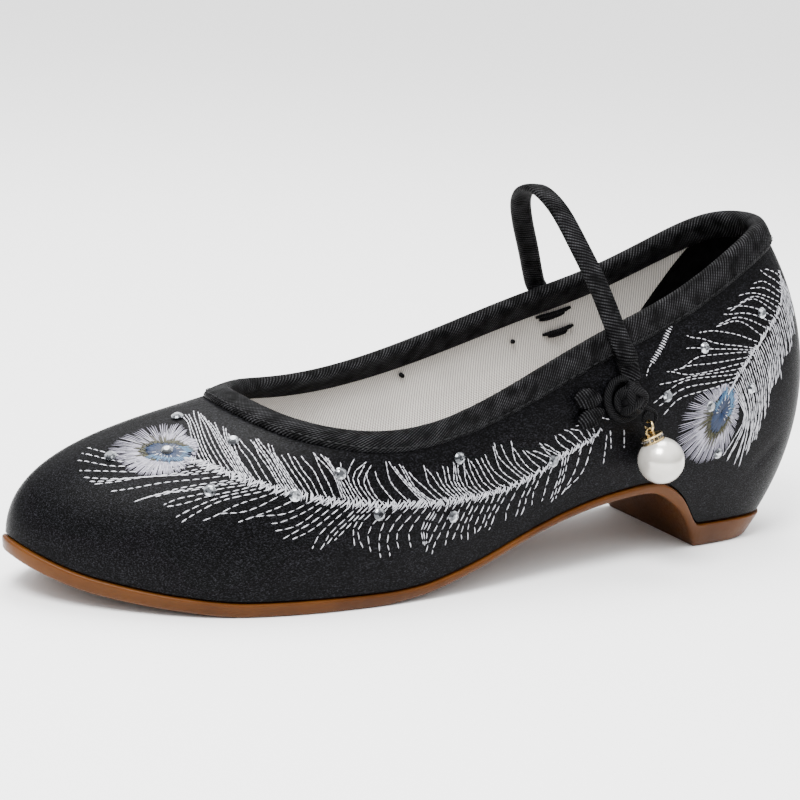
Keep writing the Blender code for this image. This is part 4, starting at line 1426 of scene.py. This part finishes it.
@dataclass
class Drop:
    """The wire ring, the gold cap with its dark stones, and the pearl."""

    shop: Workshop
    sway_pivot: Vector
    sway_axis: Vector
    ring_radius: float = 1.6 * MM
    ring_wire: float = 0.4 * MM
    staple_radius: float = 1.1 * MM
    staple_wire: float = 0.35 * MM
    cap_radius: float = 3.3 * MM
    cap_height: float = 2.1 * MM
    cap_seat: float = 0.86
    stones: int = 14

    def pearl_frame(self) -> tuple[Matrix, float]:
        """Frame at the pearl's middle with Z to the hinge, and the pearl's radius."""
        low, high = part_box("pearl")
        centre = (low + high) / 2
        up = (self.sway_pivot - centre).normalized()
        side = self.sway_axis.normalized()
        front = side.cross(up).normalized()
        frame = Matrix((front, up.cross(front), up)).transposed().to_4x4()
        frame.translation = centre
        return frame, (high.z - low.z) / 2

    def circle(self, centre: Vector, normal: Vector, radius: float, count: int = 48) -> np.ndarray:
        """Points of a circle square to a normal."""
        turn = normal.to_track_quat("Z", "Y").to_matrix()
        flat = [Vector((radius * math.cos(a), radius * math.sin(a), 0)) for a in ring_angles(count)]
        return np.array([tuple(centre + turn @ spot) for spot in flat])

    def turned(
        self, profile: Sequence[tuple[float, float]], frame: Matrix, closed: bool
    ) -> bmesh.types.BMesh:
        """Spins a profile of (radius, height) round the drop's axis.

        Args:
            profile: points of the profile.
            frame: the pearl's frame.
            closed: whether the profile comes back to its start.

        Returns:
            The mesh.
        """
        bm = bmesh.new()
        verts = [bm.verts.new((r, 0, z)) for r, z in profile]
        edges = [bm.edges.new(pair) for pair in zip(verts, verts[1:])]
        if closed:
            edges.append(bm.edges.new((verts[-1], verts[0])))
        bmesh.ops.spin(
            bm, geom=verts + edges, cent=(0, 0, 0), axis=(0, 0, 1), dvec=(0, 0, 0), angle=2 * math.pi,
            steps=64,
            use_merge=True, use_duplicate=False,
        )
        bmesh.ops.remove_doubles(bm, verts=bm.verts, dist=1e-6)
        bm.transform(frame)
        return outward(bm)

    def cap(self, frame: Matrix, radius: float) -> None:
        """Makes the gold cap, its staple and its ring of dark stones."""
        base = self.cap_seat * radius
        rim, low, top = self.cap_radius, base, base + self.cap_height
        bowl = math.sqrt(max(radius**2 - base**2, 0.0))
        profile = [
            (0.2 * MM, top), (rim - 0.45 * MM, top), (rim - 0.1 * MM, top - 0.08 * MM), (rim, top - 0.3 * MM),
            (rim - 0.08 * MM, top - 0.52 * MM), (rim - 0.42 * MM, top - 0.62 * MM),
            (rim - 0.42 * MM, low + 0.62 * MM),
            (rim - 0.08 * MM, low + 0.52 * MM), (rim, low + 0.3 * MM), (rim - 0.1 * MM, low + 0.08 * MM),
            (max(rim - 0.4 * MM, bowl + 0.05 * MM), low), (0.2 * MM, radius + 0.15 * MM),
        ]
        gold = self.turned(profile, frame, True)
        staple = tube(
            self.circle(self.sway_pivot, self.sway_axis, self.staple_radius), self.staple_wire, 10,
            closed=True
        )
        self.shop.piece(
            merge(gold, staple), "gold_cap", Cloth.GOLD, body="drop", nodes=("pearl_cap",), sharp=35
        )
        band = bmesh.new()
        middle = (low + top) / 2
        for k in range(self.stones):
            turn = Matrix.Rotation(2 * math.pi * k / self.stones, 4, "Z")
            lie = Matrix.Translation((rim - 0.40 * MM, 0, middle)) @ Matrix.Rotation(math.radians(90), 4, "Y")
            bmesh.ops.create_cone(
                band, cap_ends=True, segments=8, radius1=0.58 * MM, radius2=0.30 * MM, depth=0.42 * MM,
                matrix=frame @ turn @ lie @ Matrix.Translation((0, 0, 0.18 * MM)),
            )
        self.shop.piece(band, "cap_stones", Cloth.SMOKE, body="drop", sharp=20)

    def build(self) -> None:
        """Makes the ring, the cap and the pearl."""
        low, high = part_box("pearl_ring")
        ring = tube(
            self.circle((low + high) / 2, Vector((1, 0, 0)), self.ring_radius), self.ring_wire, 10,
            closed=True
        )
        self.shop.piece(ring, "wire_ring", Cloth.GOLD, body="ring", nodes=("pearl_ring",))
        frame, radius = self.pearl_frame()
        self.cap(frame, radius)
        pearl = bmesh.new()
        bmesh.ops.create_uvsphere(pearl, u_segments=64, v_segments=40, radius=radius, matrix=frame)
        self.shop.piece(pearl, "pearl_drop", Cloth.PEARL, body="drop", nodes=("pearl",))


class Stitch(NamedTuple):
    """A straight stitch between two places in the embroidery, in millimetres of girth and depth."""

    start: tuple[float, float]
    end: tuple[float, float]
    width: float
    lift: float
    tone: float


class Needle:
    """Lays stitches on the satin, each a small tapered tube that dips into the cloth at both ends."""

    RINGS = 5
    SIDES = 6

    def __init__(self, last: Last, seed: int, dull: float = 0.62, rest: float = 0.0) -> None:
        """Starts with no stitches.

        Args:
            last: the wall that they lie on.
            seed: seed of the random draws.
            dull: tone of the dullest stitch, from 0 to 1.
            rest: height of the cloth under them over the satin's face, in millimetres.
        """
        self.last = last
        self.dull = dull
        self.rest = rest * MM
        self.draw = random.Random(seed)
        self.stitches: list[Stitch] = []

    def lay(
        self, start: tuple[float, float], end: tuple[float, float], width: float = 0.32, lift: float = 0.16
    ) -> None:
        """Adds one stitch; sizes are in millimetres."""
        self.stitches.append(Stitch(start, end, width, lift, self.draw.uniform(self.dull, 1.0)))

    def run(self, path: np.ndarray, stitch: float, gap: float, width: float = 0.31) -> None:
        """Adds a row of stitches along a path of (girth, depth) points.

        Args:
            path: the points, in millimetres.
            stitch: length of a stitch.
            gap: length of satin between two.
            width: width of the thread.
        """
        lengths = run_lengths(path)
        at = self.draw.uniform(0, 0.5 * stitch)
        while at < lengths[-1] - 0.35 * stitch:
            length = stitch * self.draw.uniform(0.8, 1.2)
            ends = [tuple(spot_at(path, lengths, spot)) for spot in (at, min(at + length, lengths[-1]))]
            self.lay(*ends, width * self.draw.uniform(0.9, 1.12))
            at += length + gap

    def sewn(self) -> bmesh.types.BMesh:
        """Builds all the stitches as one mesh with a tone for each.

        Returns:
            The mesh.
        """
        starts = np.array([s.start for s in self.stitches]) * MM
        ends = np.array([s.end for s in self.stitches]) * MM
        widths = np.array([s.width for s in self.stitches]) * MM / 2
        lifts = np.array([s.lift for s in self.stitches]) * MM
        t = np.linspace(0, 1, self.RINGS + 1)
        places = starts[:, None] * (1 - t)[None, :, None] + ends[:, None] * t[None, :, None]
        us, ws = self.last.stitched(places[..., 0].ravel(), places[..., 1].ravel())
        normal = self.last.normals(us, ws).reshape(len(starts), -1, 3)
        middle = self.last.points(us, ws).reshape(len(starts), -1, 3)
        arch = 4 * t * (1 - t)
        middle = middle + normal * (
            lifts[:, None] * (0.2 + 0.8 * arch[None, :]) - 0.04 * MM + self.rest
        )[..., None]
        ahead = np.gradient(middle, axis=1)
        ahead /= np.linalg.norm(ahead, axis=2, keepdims=True)
        side = np.cross(normal, ahead)
        side /= np.linalg.norm(side, axis=2, keepdims=True)
        full = np.clip(3.2 * np.minimum(t, 1 - t), 0, 1) ** 0.6
        unit = bmesh.new()
        bmesh.ops.create_uvsphere(unit, u_segments=self.SIDES, v_segments=self.RINGS, radius=1.0)
        rings = [
            round(math.acos(max(-1.0, min(1.0, -vert.co.z))) / math.pi * self.RINGS) for vert in unit.verts
        ]
        turns = np.array([math.atan2(vert.co.y, vert.co.x) for vert in unit.verts])
        reach = (widths[:, None] * full[None, :])[:, rings]
        across = side[:, rings] * np.cos(turns)[None, :, None]
        above = normal[:, rings] * 0.7 * np.sin(turns)[None, :, None]
        spots = (middle[:, rings] + reach[..., None] * (across + above)).reshape(-1, 3)
        tone = np.repeat([stitch.tone for stitch in self.stitches], len(rings))
        bm = repeat(unit, len(self.stitches))
        tones = bm.verts.layers.float.new("tone")
        for vert, spot, value in zip(bm.verts, spots, tone):
            vert.co = spot
            vert[tones] = value
        return bm


class Barb(NamedTuple):
    """A barb of a feather in millimetres: its root's girth on the quill, a place on its way, and its tip."""

    root: float
    way_girth: float
    way_depth: float
    tip_girth: float
    tip_depth: float


class Ring(NamedTuple):
    """A place of a feather's eye outline, in millimetres."""

    girth: float
    depth: float


@dataclass
class Feather:
    """One embroidered peacock feather: a quill of crossing stitches, rows of barbs and a filled eye."""

    last: Last
    shop: Workshop
    name: str
    seed: int
    quill: tuple[tuple[float, float], ...]
    upper: tuple[Barb, ...]
    lower: tuple[Barb, ...]
    upper_run: tuple[float, float]
    lower_run: tuple[float, float]
    outline: tuple[Ring, ...]
    heart: Ring
    pupil: tuple[float, float]
    pupil_turn: float
    olive_side: float
    quill_half: tuple[float, float] = (1.7, 1.1)
    quill_step: float = 0.44
    rays: int = 156
    upper_between: int = 1
    lower_between: int = 1

    def quill_at(self, girth: float) -> float:
        """Depth of the quill at a girth."""
        path = smooth_path(self.quill, 8)
        order = np.argsort(path[:, 0])
        return float(np.interp(girth, path[order, 0], path[order, 1]))

    def barb_path(self, barb: Barb, draw: random.Random) -> np.ndarray:
        """Points of a barb from its root to its tip, a little wavy."""
        root = np.array((barb.root, self.quill_at(barb.root)))
        tip = np.array((barb.tip_girth, barb.tip_depth))
        path = smooth_path([root, (barb.way_girth, barb.way_depth), tip], 14)
        t = np.linspace(0, 1, len(path))[:, None]
        ahead = (tip - root) / max(np.linalg.norm(tip - root), 0.1)
        wave = draw.uniform(0.10, 0.32) * np.sin(draw.uniform(6, 12) * t + draw.uniform(0, 6.3)) * np.sqrt(t)
        return path + wave * np.array((-ahead[1], ahead[0]))

    def barbs(self, needle: Needle, keys: tuple[Barb, ...], between: int, stitch: float, gap: float) -> None:
        """Lays the barbs of one side, with more of them between the keyed ones."""
        for a, b in zip(keys, keys[1:] + keys[-1:]):
            steps = between + 1 if a is not b else 1
            for k in range(steps):
                share = k / steps
                mixed = [x + (y - x) * share for x, y in zip(a, b)]
                if k:
                    mixed[3] += needle.draw.uniform(-1.8, 0.8)
                    mixed[4] += needle.draw.uniform(-1.1, 1.1)
                needle.run(self.barb_path(Barb(*mixed), needle.draw), stitch, gap)

    def quill_band(self, needle: Needle) -> None:
        """Lays the short crossing stitches of the quill."""
        path = smooth_path(self.quill, 10)
        lengths = run_lengths(path)
        at = 0.0
        while at < lengths[-1]:
            taper = self.quill_half[0] + (self.quill_half[1] - self.quill_half[0]) * at / lengths[-1]
            spot = spot_at(path, lengths, at)
            lean = math.radians(
                needle.draw.choice((needle.draw.uniform(38, 70), needle.draw.uniform(100, 140)))
            )
            reach = taper * needle.draw.uniform(0.65, 1.15) * np.array([math.cos(lean), math.sin(lean)])
            spot = spot + (needle.draw.uniform(-0.4, 0.4), needle.draw.uniform(-0.4, 0.4))
            needle.lay(tuple(spot - reach), tuple(spot + reach), 0.32, needle.draw.uniform(0.18, 0.5))
            at += self.quill_step

    def edge_at(self, angle: float) -> float:
        """Distance from the eye's heart to its outline in a direction."""
        spots = np.array([(r.girth - self.heart.girth, r.depth - self.heart.depth) for r in self.outline])
        turns = np.unwrap(np.arctan2(spots[:, 1], spots[:, 0]))
        reach = np.hypot(spots[:, 0], spots[:, 1])
        order = np.argsort(turns)
        turns, reach = turns[order], reach[order]
        turns = np.concatenate([turns - 2 * math.pi, turns, turns + 2 * math.pi])
        return float(np.interp(angle, turns, np.tile(reach, 3)))

    def pupil_at(self, angle: float) -> float:
        """Distance from the heart to the edge of the blue middle in a direction."""
        turned = angle - self.pupil_turn
        a, b = self.pupil
        return a * b / math.hypot(b * math.cos(turned), a * math.sin(turned))

    def eye(self) -> None:
        """Fills the eye with rays: pale to the rim, olive on one side of the blue, light blue opposite."""
        heart = np.array(self.heart)
        cloths = (Cloth.LILAC, Cloth.SILVER, Cloth.OLIVE, Cloth.BLUE, Cloth.PALE_BLUE)
        threads = {cloth: Needle(self.last, self.seed + 1 + n, 0.15) for n, cloth in enumerate(cloths)}
        for k in range(self.rays):
            angle = 2 * math.pi * k / self.rays
            way = np.array((math.cos(angle), math.sin(angle)))
            edge, inner = self.edge_at(angle), self.pupil_at(angle)
            gold = math.cos(angle - self.olive_side)
            span = edge - inner
            rays_here = [
                (Cloth.LILAC, inner + 0.30 * span, edge, 0.95, 1.03, 0.27, 0.26, k % 5 != 4),
                (Cloth.SILVER, inner + 0.12 * span, edge, 0.72, 0.98, 0.22, 0.34, k % 4 == 0),
                (Cloth.LILAC, 0.95 * inner, inner + 0.55 * span, 0.9, 1.1, 0.34, 0.22, True),
                (
                    Cloth.OLIVE, 0.85 * inner, inner + 0.40 * span, 0.6, 1.15, 0.24, 0.40,
                    gold > 0.1 and k % 4 != 0
                ),
                (Cloth.OLIVE, 0.80 * inner, 1.2 * inner, 0.9, 1.1, 0.24, 0.38, gold > -0.5 and k % 2 == 0),
                (Cloth.BLUE, 0.08 * inner, 1.05 * inner, 0.75, 1.1, 0.40, 0.36, True),
                (
                    Cloth.PALE_BLUE, 0.45 * inner, 1.2 * inner, 0.7, 1.15, 0.26, 0.44,
                    gold < 0.1 and k % 2 == 1
                ),
                (Cloth.SILVER, 0.35 * inner, 0.75 * inner, 0.9, 1.2, 0.20, 0.50, gold < 0.6 and k % 9 == 2),
            ]
            for cloth, low, high, short, long, width, lift, wanted in rays_here:
                needle = threads[cloth]
                end = high * needle.draw.uniform(short, long)
                if wanted and end - low > 0.5:
                    low += needle.draw.uniform(-0.3, 0.3)
                    needle.lay(tuple(heart + low * way), tuple(heart + end * way), width, lift)
        for cloth, needle in threads.items():
            self.shop.piece(needle.sewn(), f"{self.name}_eye_{cloth.name.lower()}", cloth)

    def build(self) -> None:
        """Makes the quill, the barbs and the eye."""
        needle = Needle(self.last, self.seed)
        self.barbs(needle, self.upper, self.upper_between, *self.upper_run)
        self.barbs(needle, self.lower, self.lower_between, *self.lower_run)
        self.quill_band(needle)
        self.shop.piece(needle.sewn(), f"{self.name}_barbs", Cloth.SILVER)
        self.eye()


FRONT_FEATHER = {
    "name": "front_feather",
    "seed": 11,
    "quill": (
        (237, 28), (224, 25.4), (210, 23.4), (196, 22.2), (182, 21.5), (165, 22.4), (150, 24.4),
        (135, 26.5), (125, 26.5), (115, 25.4), (107, 25.6), (102, 24.5),
    ),
    "upper": (
        Barb(231, 252, 19.5, 264, 17), Barb(226, 246, 19, 264, 13.5), Barb(219, 238, 18, 260, 13),
        Barb(217, 232, 18, 249, 13.5), Barb(214, 226, 19, 237.5, 14), Barb(206, 218, 17, 228.5, 12.8),
        Barb(203, 215, 16, 227, 11.2), Barb(200, 210, 17, 217.5, 13.6), Barb(195, 202, 17, 211.5, 12.6),
        Barb(188, 195, 15, 206.5, 9.4), Barb(185, 193, 15, 200.5, 10.4), Barb(181, 189, 14.5, 187, 9.6),
        Barb(176, 182, 17, 185.5, 12.6), Barb(163, 172, 15.5, 179.5, 9.2), Barb(160, 168, 17, 174, 11),
        Barb(153, 160, 18, 165, 12.8), Barb(150, 155, 19, 158, 13.6), Barb(146, 151.5, 20, 154, 14),
        Barb(142, 147, 20, 150.5, 13.6), Barb(135, 140, 22.5, 145.5, 14.6), Barb(129, 138, 18, 141, 12),
        Barb(125, 130, 21, 134, 16), Barb(118, 122, 22.5, 126.5, 19.6), Barb(115, 119, 22.3, 122.5, 18.8),
        Barb(108, 111.5, 21.5, 115, 18.6), Barb(103.5, 106, 20, 109, 18),
    ),
    "lower": (
        Barb(235, 251, 38.5, 264, 44), Barb(233, 249, 41, 261, 48.5), Barb(229, 242, 40, 255, 50.5),
        Barb(225, 241, 39, 251, 50), Barb(219, 232, 36.5, 239, 46), Barb(216, 227, 33, 236, 42),
        Barb(213, 223, 33, 231.5, 42), Barb(209, 221, 34, 226, 43), Barb(205, 211, 30.5, 219, 36),
        Barb(196, 202, 28, 209.5, 32), Barb(192, 197.5, 29.5, 204, 34), Barb(187, 193, 29, 198, 34.2),
        Barb(183, 188.5, 30, 190, 35), Barb(180, 184, 27, 187, 32), Barb(177, 181.5, 28, 178, 34),
        Barb(171, 175, 28, 173, 36), Barb(164, 169.5, 29, 168, 35), Barb(159, 162.5, 29, 161, 34),
        Barb(157, 160.5, 30, 160, 34), Barb(152, 156.5, 32, 158, 37.3), Barb(147, 150.5, 31, 152, 35.3),
        Barb(143, 147.3, 32, 146.5, 37.5), Barb(139, 142.3, 32.5, 144, 36), Barb(134, 138.3, 32, 140, 36.3),
        Barb(127, 130, 32, 131, 36), Barb(122, 125, 30.5, 126, 35), Barb(115, 117, 32, 120, 37),
        Barb(113, 115.3, 33, 117.5, 36.8), Barb(104, 108, 33, 114, 36),
    ),
    "upper_run": (2.6, -0.10),
    "lower_run": (2.2, 0.45),
    "outline": (Ring(259.5, 41), Ring(251, 41), Ring(244, 40), Ring(239, 37), Ring(235, 33), Ring(234, 30),
                Ring(235.5, 26.5), Ring(247, 22.5), Ring(257, 20.5), Ring(262, 26), Ring(262, 32)),
    "heart": Ring(244, 30),
    "pupil": (8.0, 3.7),
    "pupil_turn": math.radians(24),
    "olive_side": math.radians(-25),
    "upper_between": 2,
    "lower_between": 1,
}

BACK_FEATHER = {
    "name": "back_feather",
    "seed": 29,
    "quill": ((55, 35), (50, 31.5), (43, 28), (36, 25.5), (29, 22.5), (25, 18.5), (22, 14)),
    "upper": (
        Barb(52, 71, 27.5, 79.5, 29.5), Barb(50, 70, 23.5, 82.5, 24.5), Barb(47, 68, 22.5, 77, 18),
        Barb(44, 62, 20, 72, 19), Barb(43, 60, 17, 68, 11.4), Barb(39, 48, 17.5, 57.5, 13.8),
        Barb(34, 45, 16.5, 54, 12.3), Barb(31, 40, 15, 50, 13), Barb(28, 38, 14, 46, 11),
        Barb(26, 32, 13.5, 38, 11), Barb(23, 27, 12, 31, 10),
    ),
    "lower": (
        Barb(54, 47.5, 46, 55, 53.5), Barb(51, 46, 47, 46.5, 62), Barb(48, 43, 46, 44, 56),
        Barb(44, 40.3, 43, 40.5, 54), Barb(41, 38, 35, 37.5, 43), Barb(36, 34, 36, 35, 44),
        Barb(32, 31, 31, 30.5, 37), Barb(27, 26, 30, 26, 36), Barb(24, 23, 25, 22.5, 31),
        Barb(22.5, 20, 21, 19, 27),
    ),
    "upper_run": (2.1, 0.45),
    "lower_run": (4.0, -0.45),
    "outline": (
        Ring(53, 34), Ring(60, 30.5), Ring(67, 29), Ring(72, 32), Ring(74, 41), Ring(69, 47), Ring(61, 52),
        Ring(54, 53), Ring(50.5, 47), Ring(50.5, 40),
    ),
    "heart": Ring(57, 39),
    "pupil": (6.2, 4.2),
    "pupil_turn": math.radians(60),
    "olive_side": math.radians(50),
    "quill_half": (1.5, 0.9),
    "upper_between": 1,
    "lower_between": 4,
}


@dataclass
class Extras:
    """The short satin-stitched bar, the loose stitches by the knot, and the black tacks on the lining."""

    last: Last
    shop: Workshop
    bar: tuple[tuple[float, float], ...] = ((73.5, 6.5), (77.5, 10.4), (82, 13.4))
    tail: tuple[tuple[float, float], ...] = ((82, 13.4), (83.4, 14.4), (84.5, 16.2))
    strays: tuple[tuple[tuple[float, float], tuple[float, float]], ...] = (
        ((99.5, 25.6), (100.7, 34.4)), ((98.4, 25.5), (98.0, 31.3)), ((93.4, 26.7), (93.3, 33.1)),
        ((105.5, 16.5), (102.2, 20.5)), ((102.2, 20.5), (98.5, 22.8)),
    )
    tacks: tuple[tuple[tuple[float, float], tuple[float, float]], ...] = (
        ((-88, 8.0), (-76, 9.0)), ((-86.5, 9.4), (-78, 9.9)), ((-84.5, 15.2), (-74, 16.0)),
        ((-82.5, 16.4), (-76, 17.0)),
        ((-95.6, 12.8), (-94.8, 13.2)), ((-134.2, 9.0), (-132.6, 10.4)),
    )
    inside: float = -1.9 * MM

    def silver(self) -> None:
        """Lays the bar of slanted stitches and the loose ones."""
        needle = Needle(self.last, 53)
        path = smooth_path(self.bar, 10)
        lengths = run_lengths(path)
        for at in np.arange(0, lengths[-1], 0.72):
            spot = spot_at(path, lengths, at)
            reach = needle.draw.uniform(0.9, 1.25) * np.array((0.75, -0.66))
            needle.lay(tuple(spot - reach), tuple(spot + reach), 0.36, needle.draw.uniform(0.2, 0.4))
        needle.run(smooth_path(self.tail, 6), 1.4, 0.3)
        for start, end in self.strays:
            needle.run(np.linspace(start, end, 8), 2.0, 0.25)
        self.shop.piece(needle.sewn(), "satin_stitch_bar", Cloth.SILVER)

    def black(self) -> None:
        """Ties thick black thread into the lining, where the strap's inner end is sewn."""
        bm = bmesh.new()
        for start, end in self.tacks:
            places = np.linspace(start, end, 9) * MM
            us, ws = self.last.stitched(places[:, 0], places[:, 1])
            t = np.linspace(0, 1, 9)
            off = self.inside - 0.5 * MM * np.sin(math.pi * t)
            radius = 0.75 * MM * (0.55 + 0.45 * np.sin(math.pi * t) + 0.12 * np.sin(9 * t))
            merge(bm, tube(self.last.off(us, ws, off), radius, 8))
        self.shop.piece(bm, "lining_tacks", Cloth.CORD)

    def build(self) -> None:
        """Makes the pieces."""
        self.silver()
        self.black()


@dataclass
class Stones:
    """The flat-backed stones glued to the satin."""

    last: Last
    shop: Workshop
    radius: float = 1.65 * MM
    rise: float = 0.95 * MM
    seats: tuple[tuple[float, float], ...] = (
        (255, 41.4), (262, 18.9), (244.3, 29.8), (232.3, 15.9), (223.8, 31.8), (202.3, 23.2), (193.2, 14.2),
        (176.6, 24.2), (152.9, 28.4), (153.8, 12.5), (118.9, 25.6), (108.1, 13.6), (38.1, 20), (62.4, 17.7),
        (77.5, 24.7), (61.5, 35), (57.3, 51.2), (45.4, 38.3), (75.8, 41.7),
    )

    def build(self) -> None:
        """Cuts each stone as a facetted dome."""
        places = np.array(self.seats) * MM
        us, ws = self.last.stitched(places[:, 0], places[:, 1])
        spots, normals = self.last.points(us, ws), self.last.normals(us, ws)
        bm = bmesh.new()
        for n, (spot, normal) in enumerate(zip(spots, normals)):
            lie = Matrix.Translation(Vector(spot) + Vector(normal) * 0.25 * MM)
            face = Vector(normal).to_track_quat("Z", "Y").to_matrix().to_4x4() @ Matrix.Rotation(
                0.37 * n, 4, "Z"
            )
            for low, high, wide, narrow in (
                (0.0, 0.28, 1.0, 1.0), (0.28, 0.72, 1.0, 0.74), (0.72, 1.0, 0.74, 0.46)
            ):
                middle = (low + high) / 2 * self.rise
                bmesh.ops.create_cone(
                    bm, cap_ends=high == 1.0 or low == 0.0, segments=12, radius1=wide * self.radius,
                    radius2=narrow * self.radius, depth=(high - low) * self.rise,
                    matrix=lie @ face @ Matrix.Translation((0, 0, middle)),
                )
        bmesh.ops.remove_doubles(bm, verts=bm.verts, dist=1e-6)
        self.shop.piece(outward(bm), "satin_stones", Cloth.CRYSTAL, sharp=8)


@dataclass(frozen=True)
class Studio:
    """Pale floor, soft lights and the camera at the photograph's angle."""

    target: tuple[float, float, float] = (-0.101115, 0.00148, 0.04455)
    distance: float = 0.6187
    azimuth: float = math.radians(-30.01)
    elevation: float = math.radians(13.56)
    roll: float = math.radians(3.39)
    lens: float = 100.24
    side_light: float = 0.22
    top_light: float = 3.0

    def camera(self) -> None:
        """Places the camera."""
        az, el = self.azimuth, self.elevation
        back = Vector((math.sin(az) * math.cos(el), -math.cos(az) * math.cos(el), math.sin(el)))
        right = Vector((math.cos(az), math.sin(az), 0))
        basis = Matrix((right, back.cross(right), back)).transposed().to_4x4()
        data = bpy.data.cameras.new("camera")
        data.lens = self.lens
        data.sensor_width = 36
        data.clip_start, data.clip_end = 0.01, 20
        made = bpy.data.objects.new("camera", data)
        bpy.context.scene.collection.objects.link(made)
        turned = basis @ Matrix.Rotation(self.roll, 4, "Z")
        turned.translation = Vector(self.target) + self.distance * back
        made.matrix_world = turned
        bpy.context.scene.camera = made

    def lamp(self, name: str, place: tuple[float, float, float], size: float, power: float) -> None:
        """Hangs a square soft light that faces the shoe."""
        data = bpy.data.lights.new(name, "AREA")
        data.size = size
        data.energy = power
        made = bpy.data.objects.new(name, data)
        bpy.context.scene.collection.objects.link(made)
        made.location = place
        way = Vector((-0.1, 0, 0.03)) - Vector(place)
        made.rotation_euler = way.to_track_quat("-Z", "Y").to_euler()

    def floor(self) -> None:
        """Lays the floor."""
        bm = bmesh.new()
        bmesh.ops.create_grid(bm, x_segments=2, y_segments=2, size=6.0)
        mesh = bpy.data.meshes.new("studio_floor")
        bm.to_mesh(mesh)
        bm.free()
        paint = bpy.data.materials.new("studio_floor")
        paint.use_nodes = True
        shader = paint.node_tree.nodes["Principled BSDF"]
        shader.inputs["Base Color"].default_value = (0.93, 0.93, 0.93, 1.0)
        shader.inputs["Roughness"].default_value = 0.9
        mesh.materials.append(paint)
        made = bpy.data.objects.new("studio_floor", mesh)
        bpy.context.scene.collection.objects.link(made)

    def build(self) -> None:
        """Sets the whole studio."""
        world = bpy.data.worlds.new("studio")
        world.use_nodes = True
        sky = Graph(world.node_tree)
        direction = sky.add("ShaderNodeSeparateXYZ", {0: sky.add("ShaderNodeTexCoord").outputs["Generated"]})
        strength = sky.spread(direction.outputs[2], 0.05, 0.8, self.side_light, self.top_light)
        sky.feed(world.node_tree.nodes["Background"].inputs[0], (1.0, 1.0, 1.0, 1.0))
        sky.feed(world.node_tree.nodes["Background"].inputs[1], strength)
        bpy.context.scene.world = world
        self.floor()
        self.lamp("key", (-0.55, -0.35, 0.95), 0.45, 22.0)
        self.lamp("top", (0.05, 0.30, 1.0), 0.6, 12.0)
        self.camera()


@dataclass(frozen=True)
class KnotPlace:
    """Where the knot sits on the outer wall."""

    along: float = 0.3235 * SHOE_LENGTH
    height: float = 0.543 * COLLAR_HEIGHT

    def frame(self, last: Last) -> Matrix:
        """Frame of the knot: X to the heel, Y up the wall and Z outwards."""
        u, w = last.side_place(self.along, self.height)
        us, ws = np.array([u]), np.array([w])
        out = Vector(last.normals(us, ws)[0])
        up = (Vector((0, 0, 1)) - out * out.z).normalized()
        frame = Matrix((up.cross(out), up, out)).transposed().to_4x4()
        frame.translation = Vector(last.points(us, ws)[0])
        return frame


def main() -> None:
    """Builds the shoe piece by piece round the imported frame."""
    logging.basicConfig(level=logging.INFO, format="%(message)s")
    for stray in list(bpy.data.objects):
        bpy.data.objects.remove(stray, do_unlink=True)
    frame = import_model()
    joints = {joint["name"]: joint for joint in frame["joints"]}
    last = Last()
    shop = Workshop()
    knot = KnotPlace().frame(last)
    ring_pivot = Vector(joints["ring_swing"]["pos_m"])
    sway = joints["pearl_sway"]
    Sole(last, shop).build()
    Upper(last, shop).build()
    tape = Binding(last, shop)
    tape.build()
    tape.seam()
    Strap(last, shop, knot).build()
    Knot(shop, knot, ring_pivot).build()
    Drop(shop, Vector(sway["pos_m"]), Vector(sway["axis"])).build()
    Feather(last, shop, **FRONT_FEATHER).build()
    Feather(last, shop, **BACK_FEATHER).build()
    Extras(last, shop).build()
    Stones(last, shop).build()
    Studio().build()


if __name__ == "__main__":
    main()
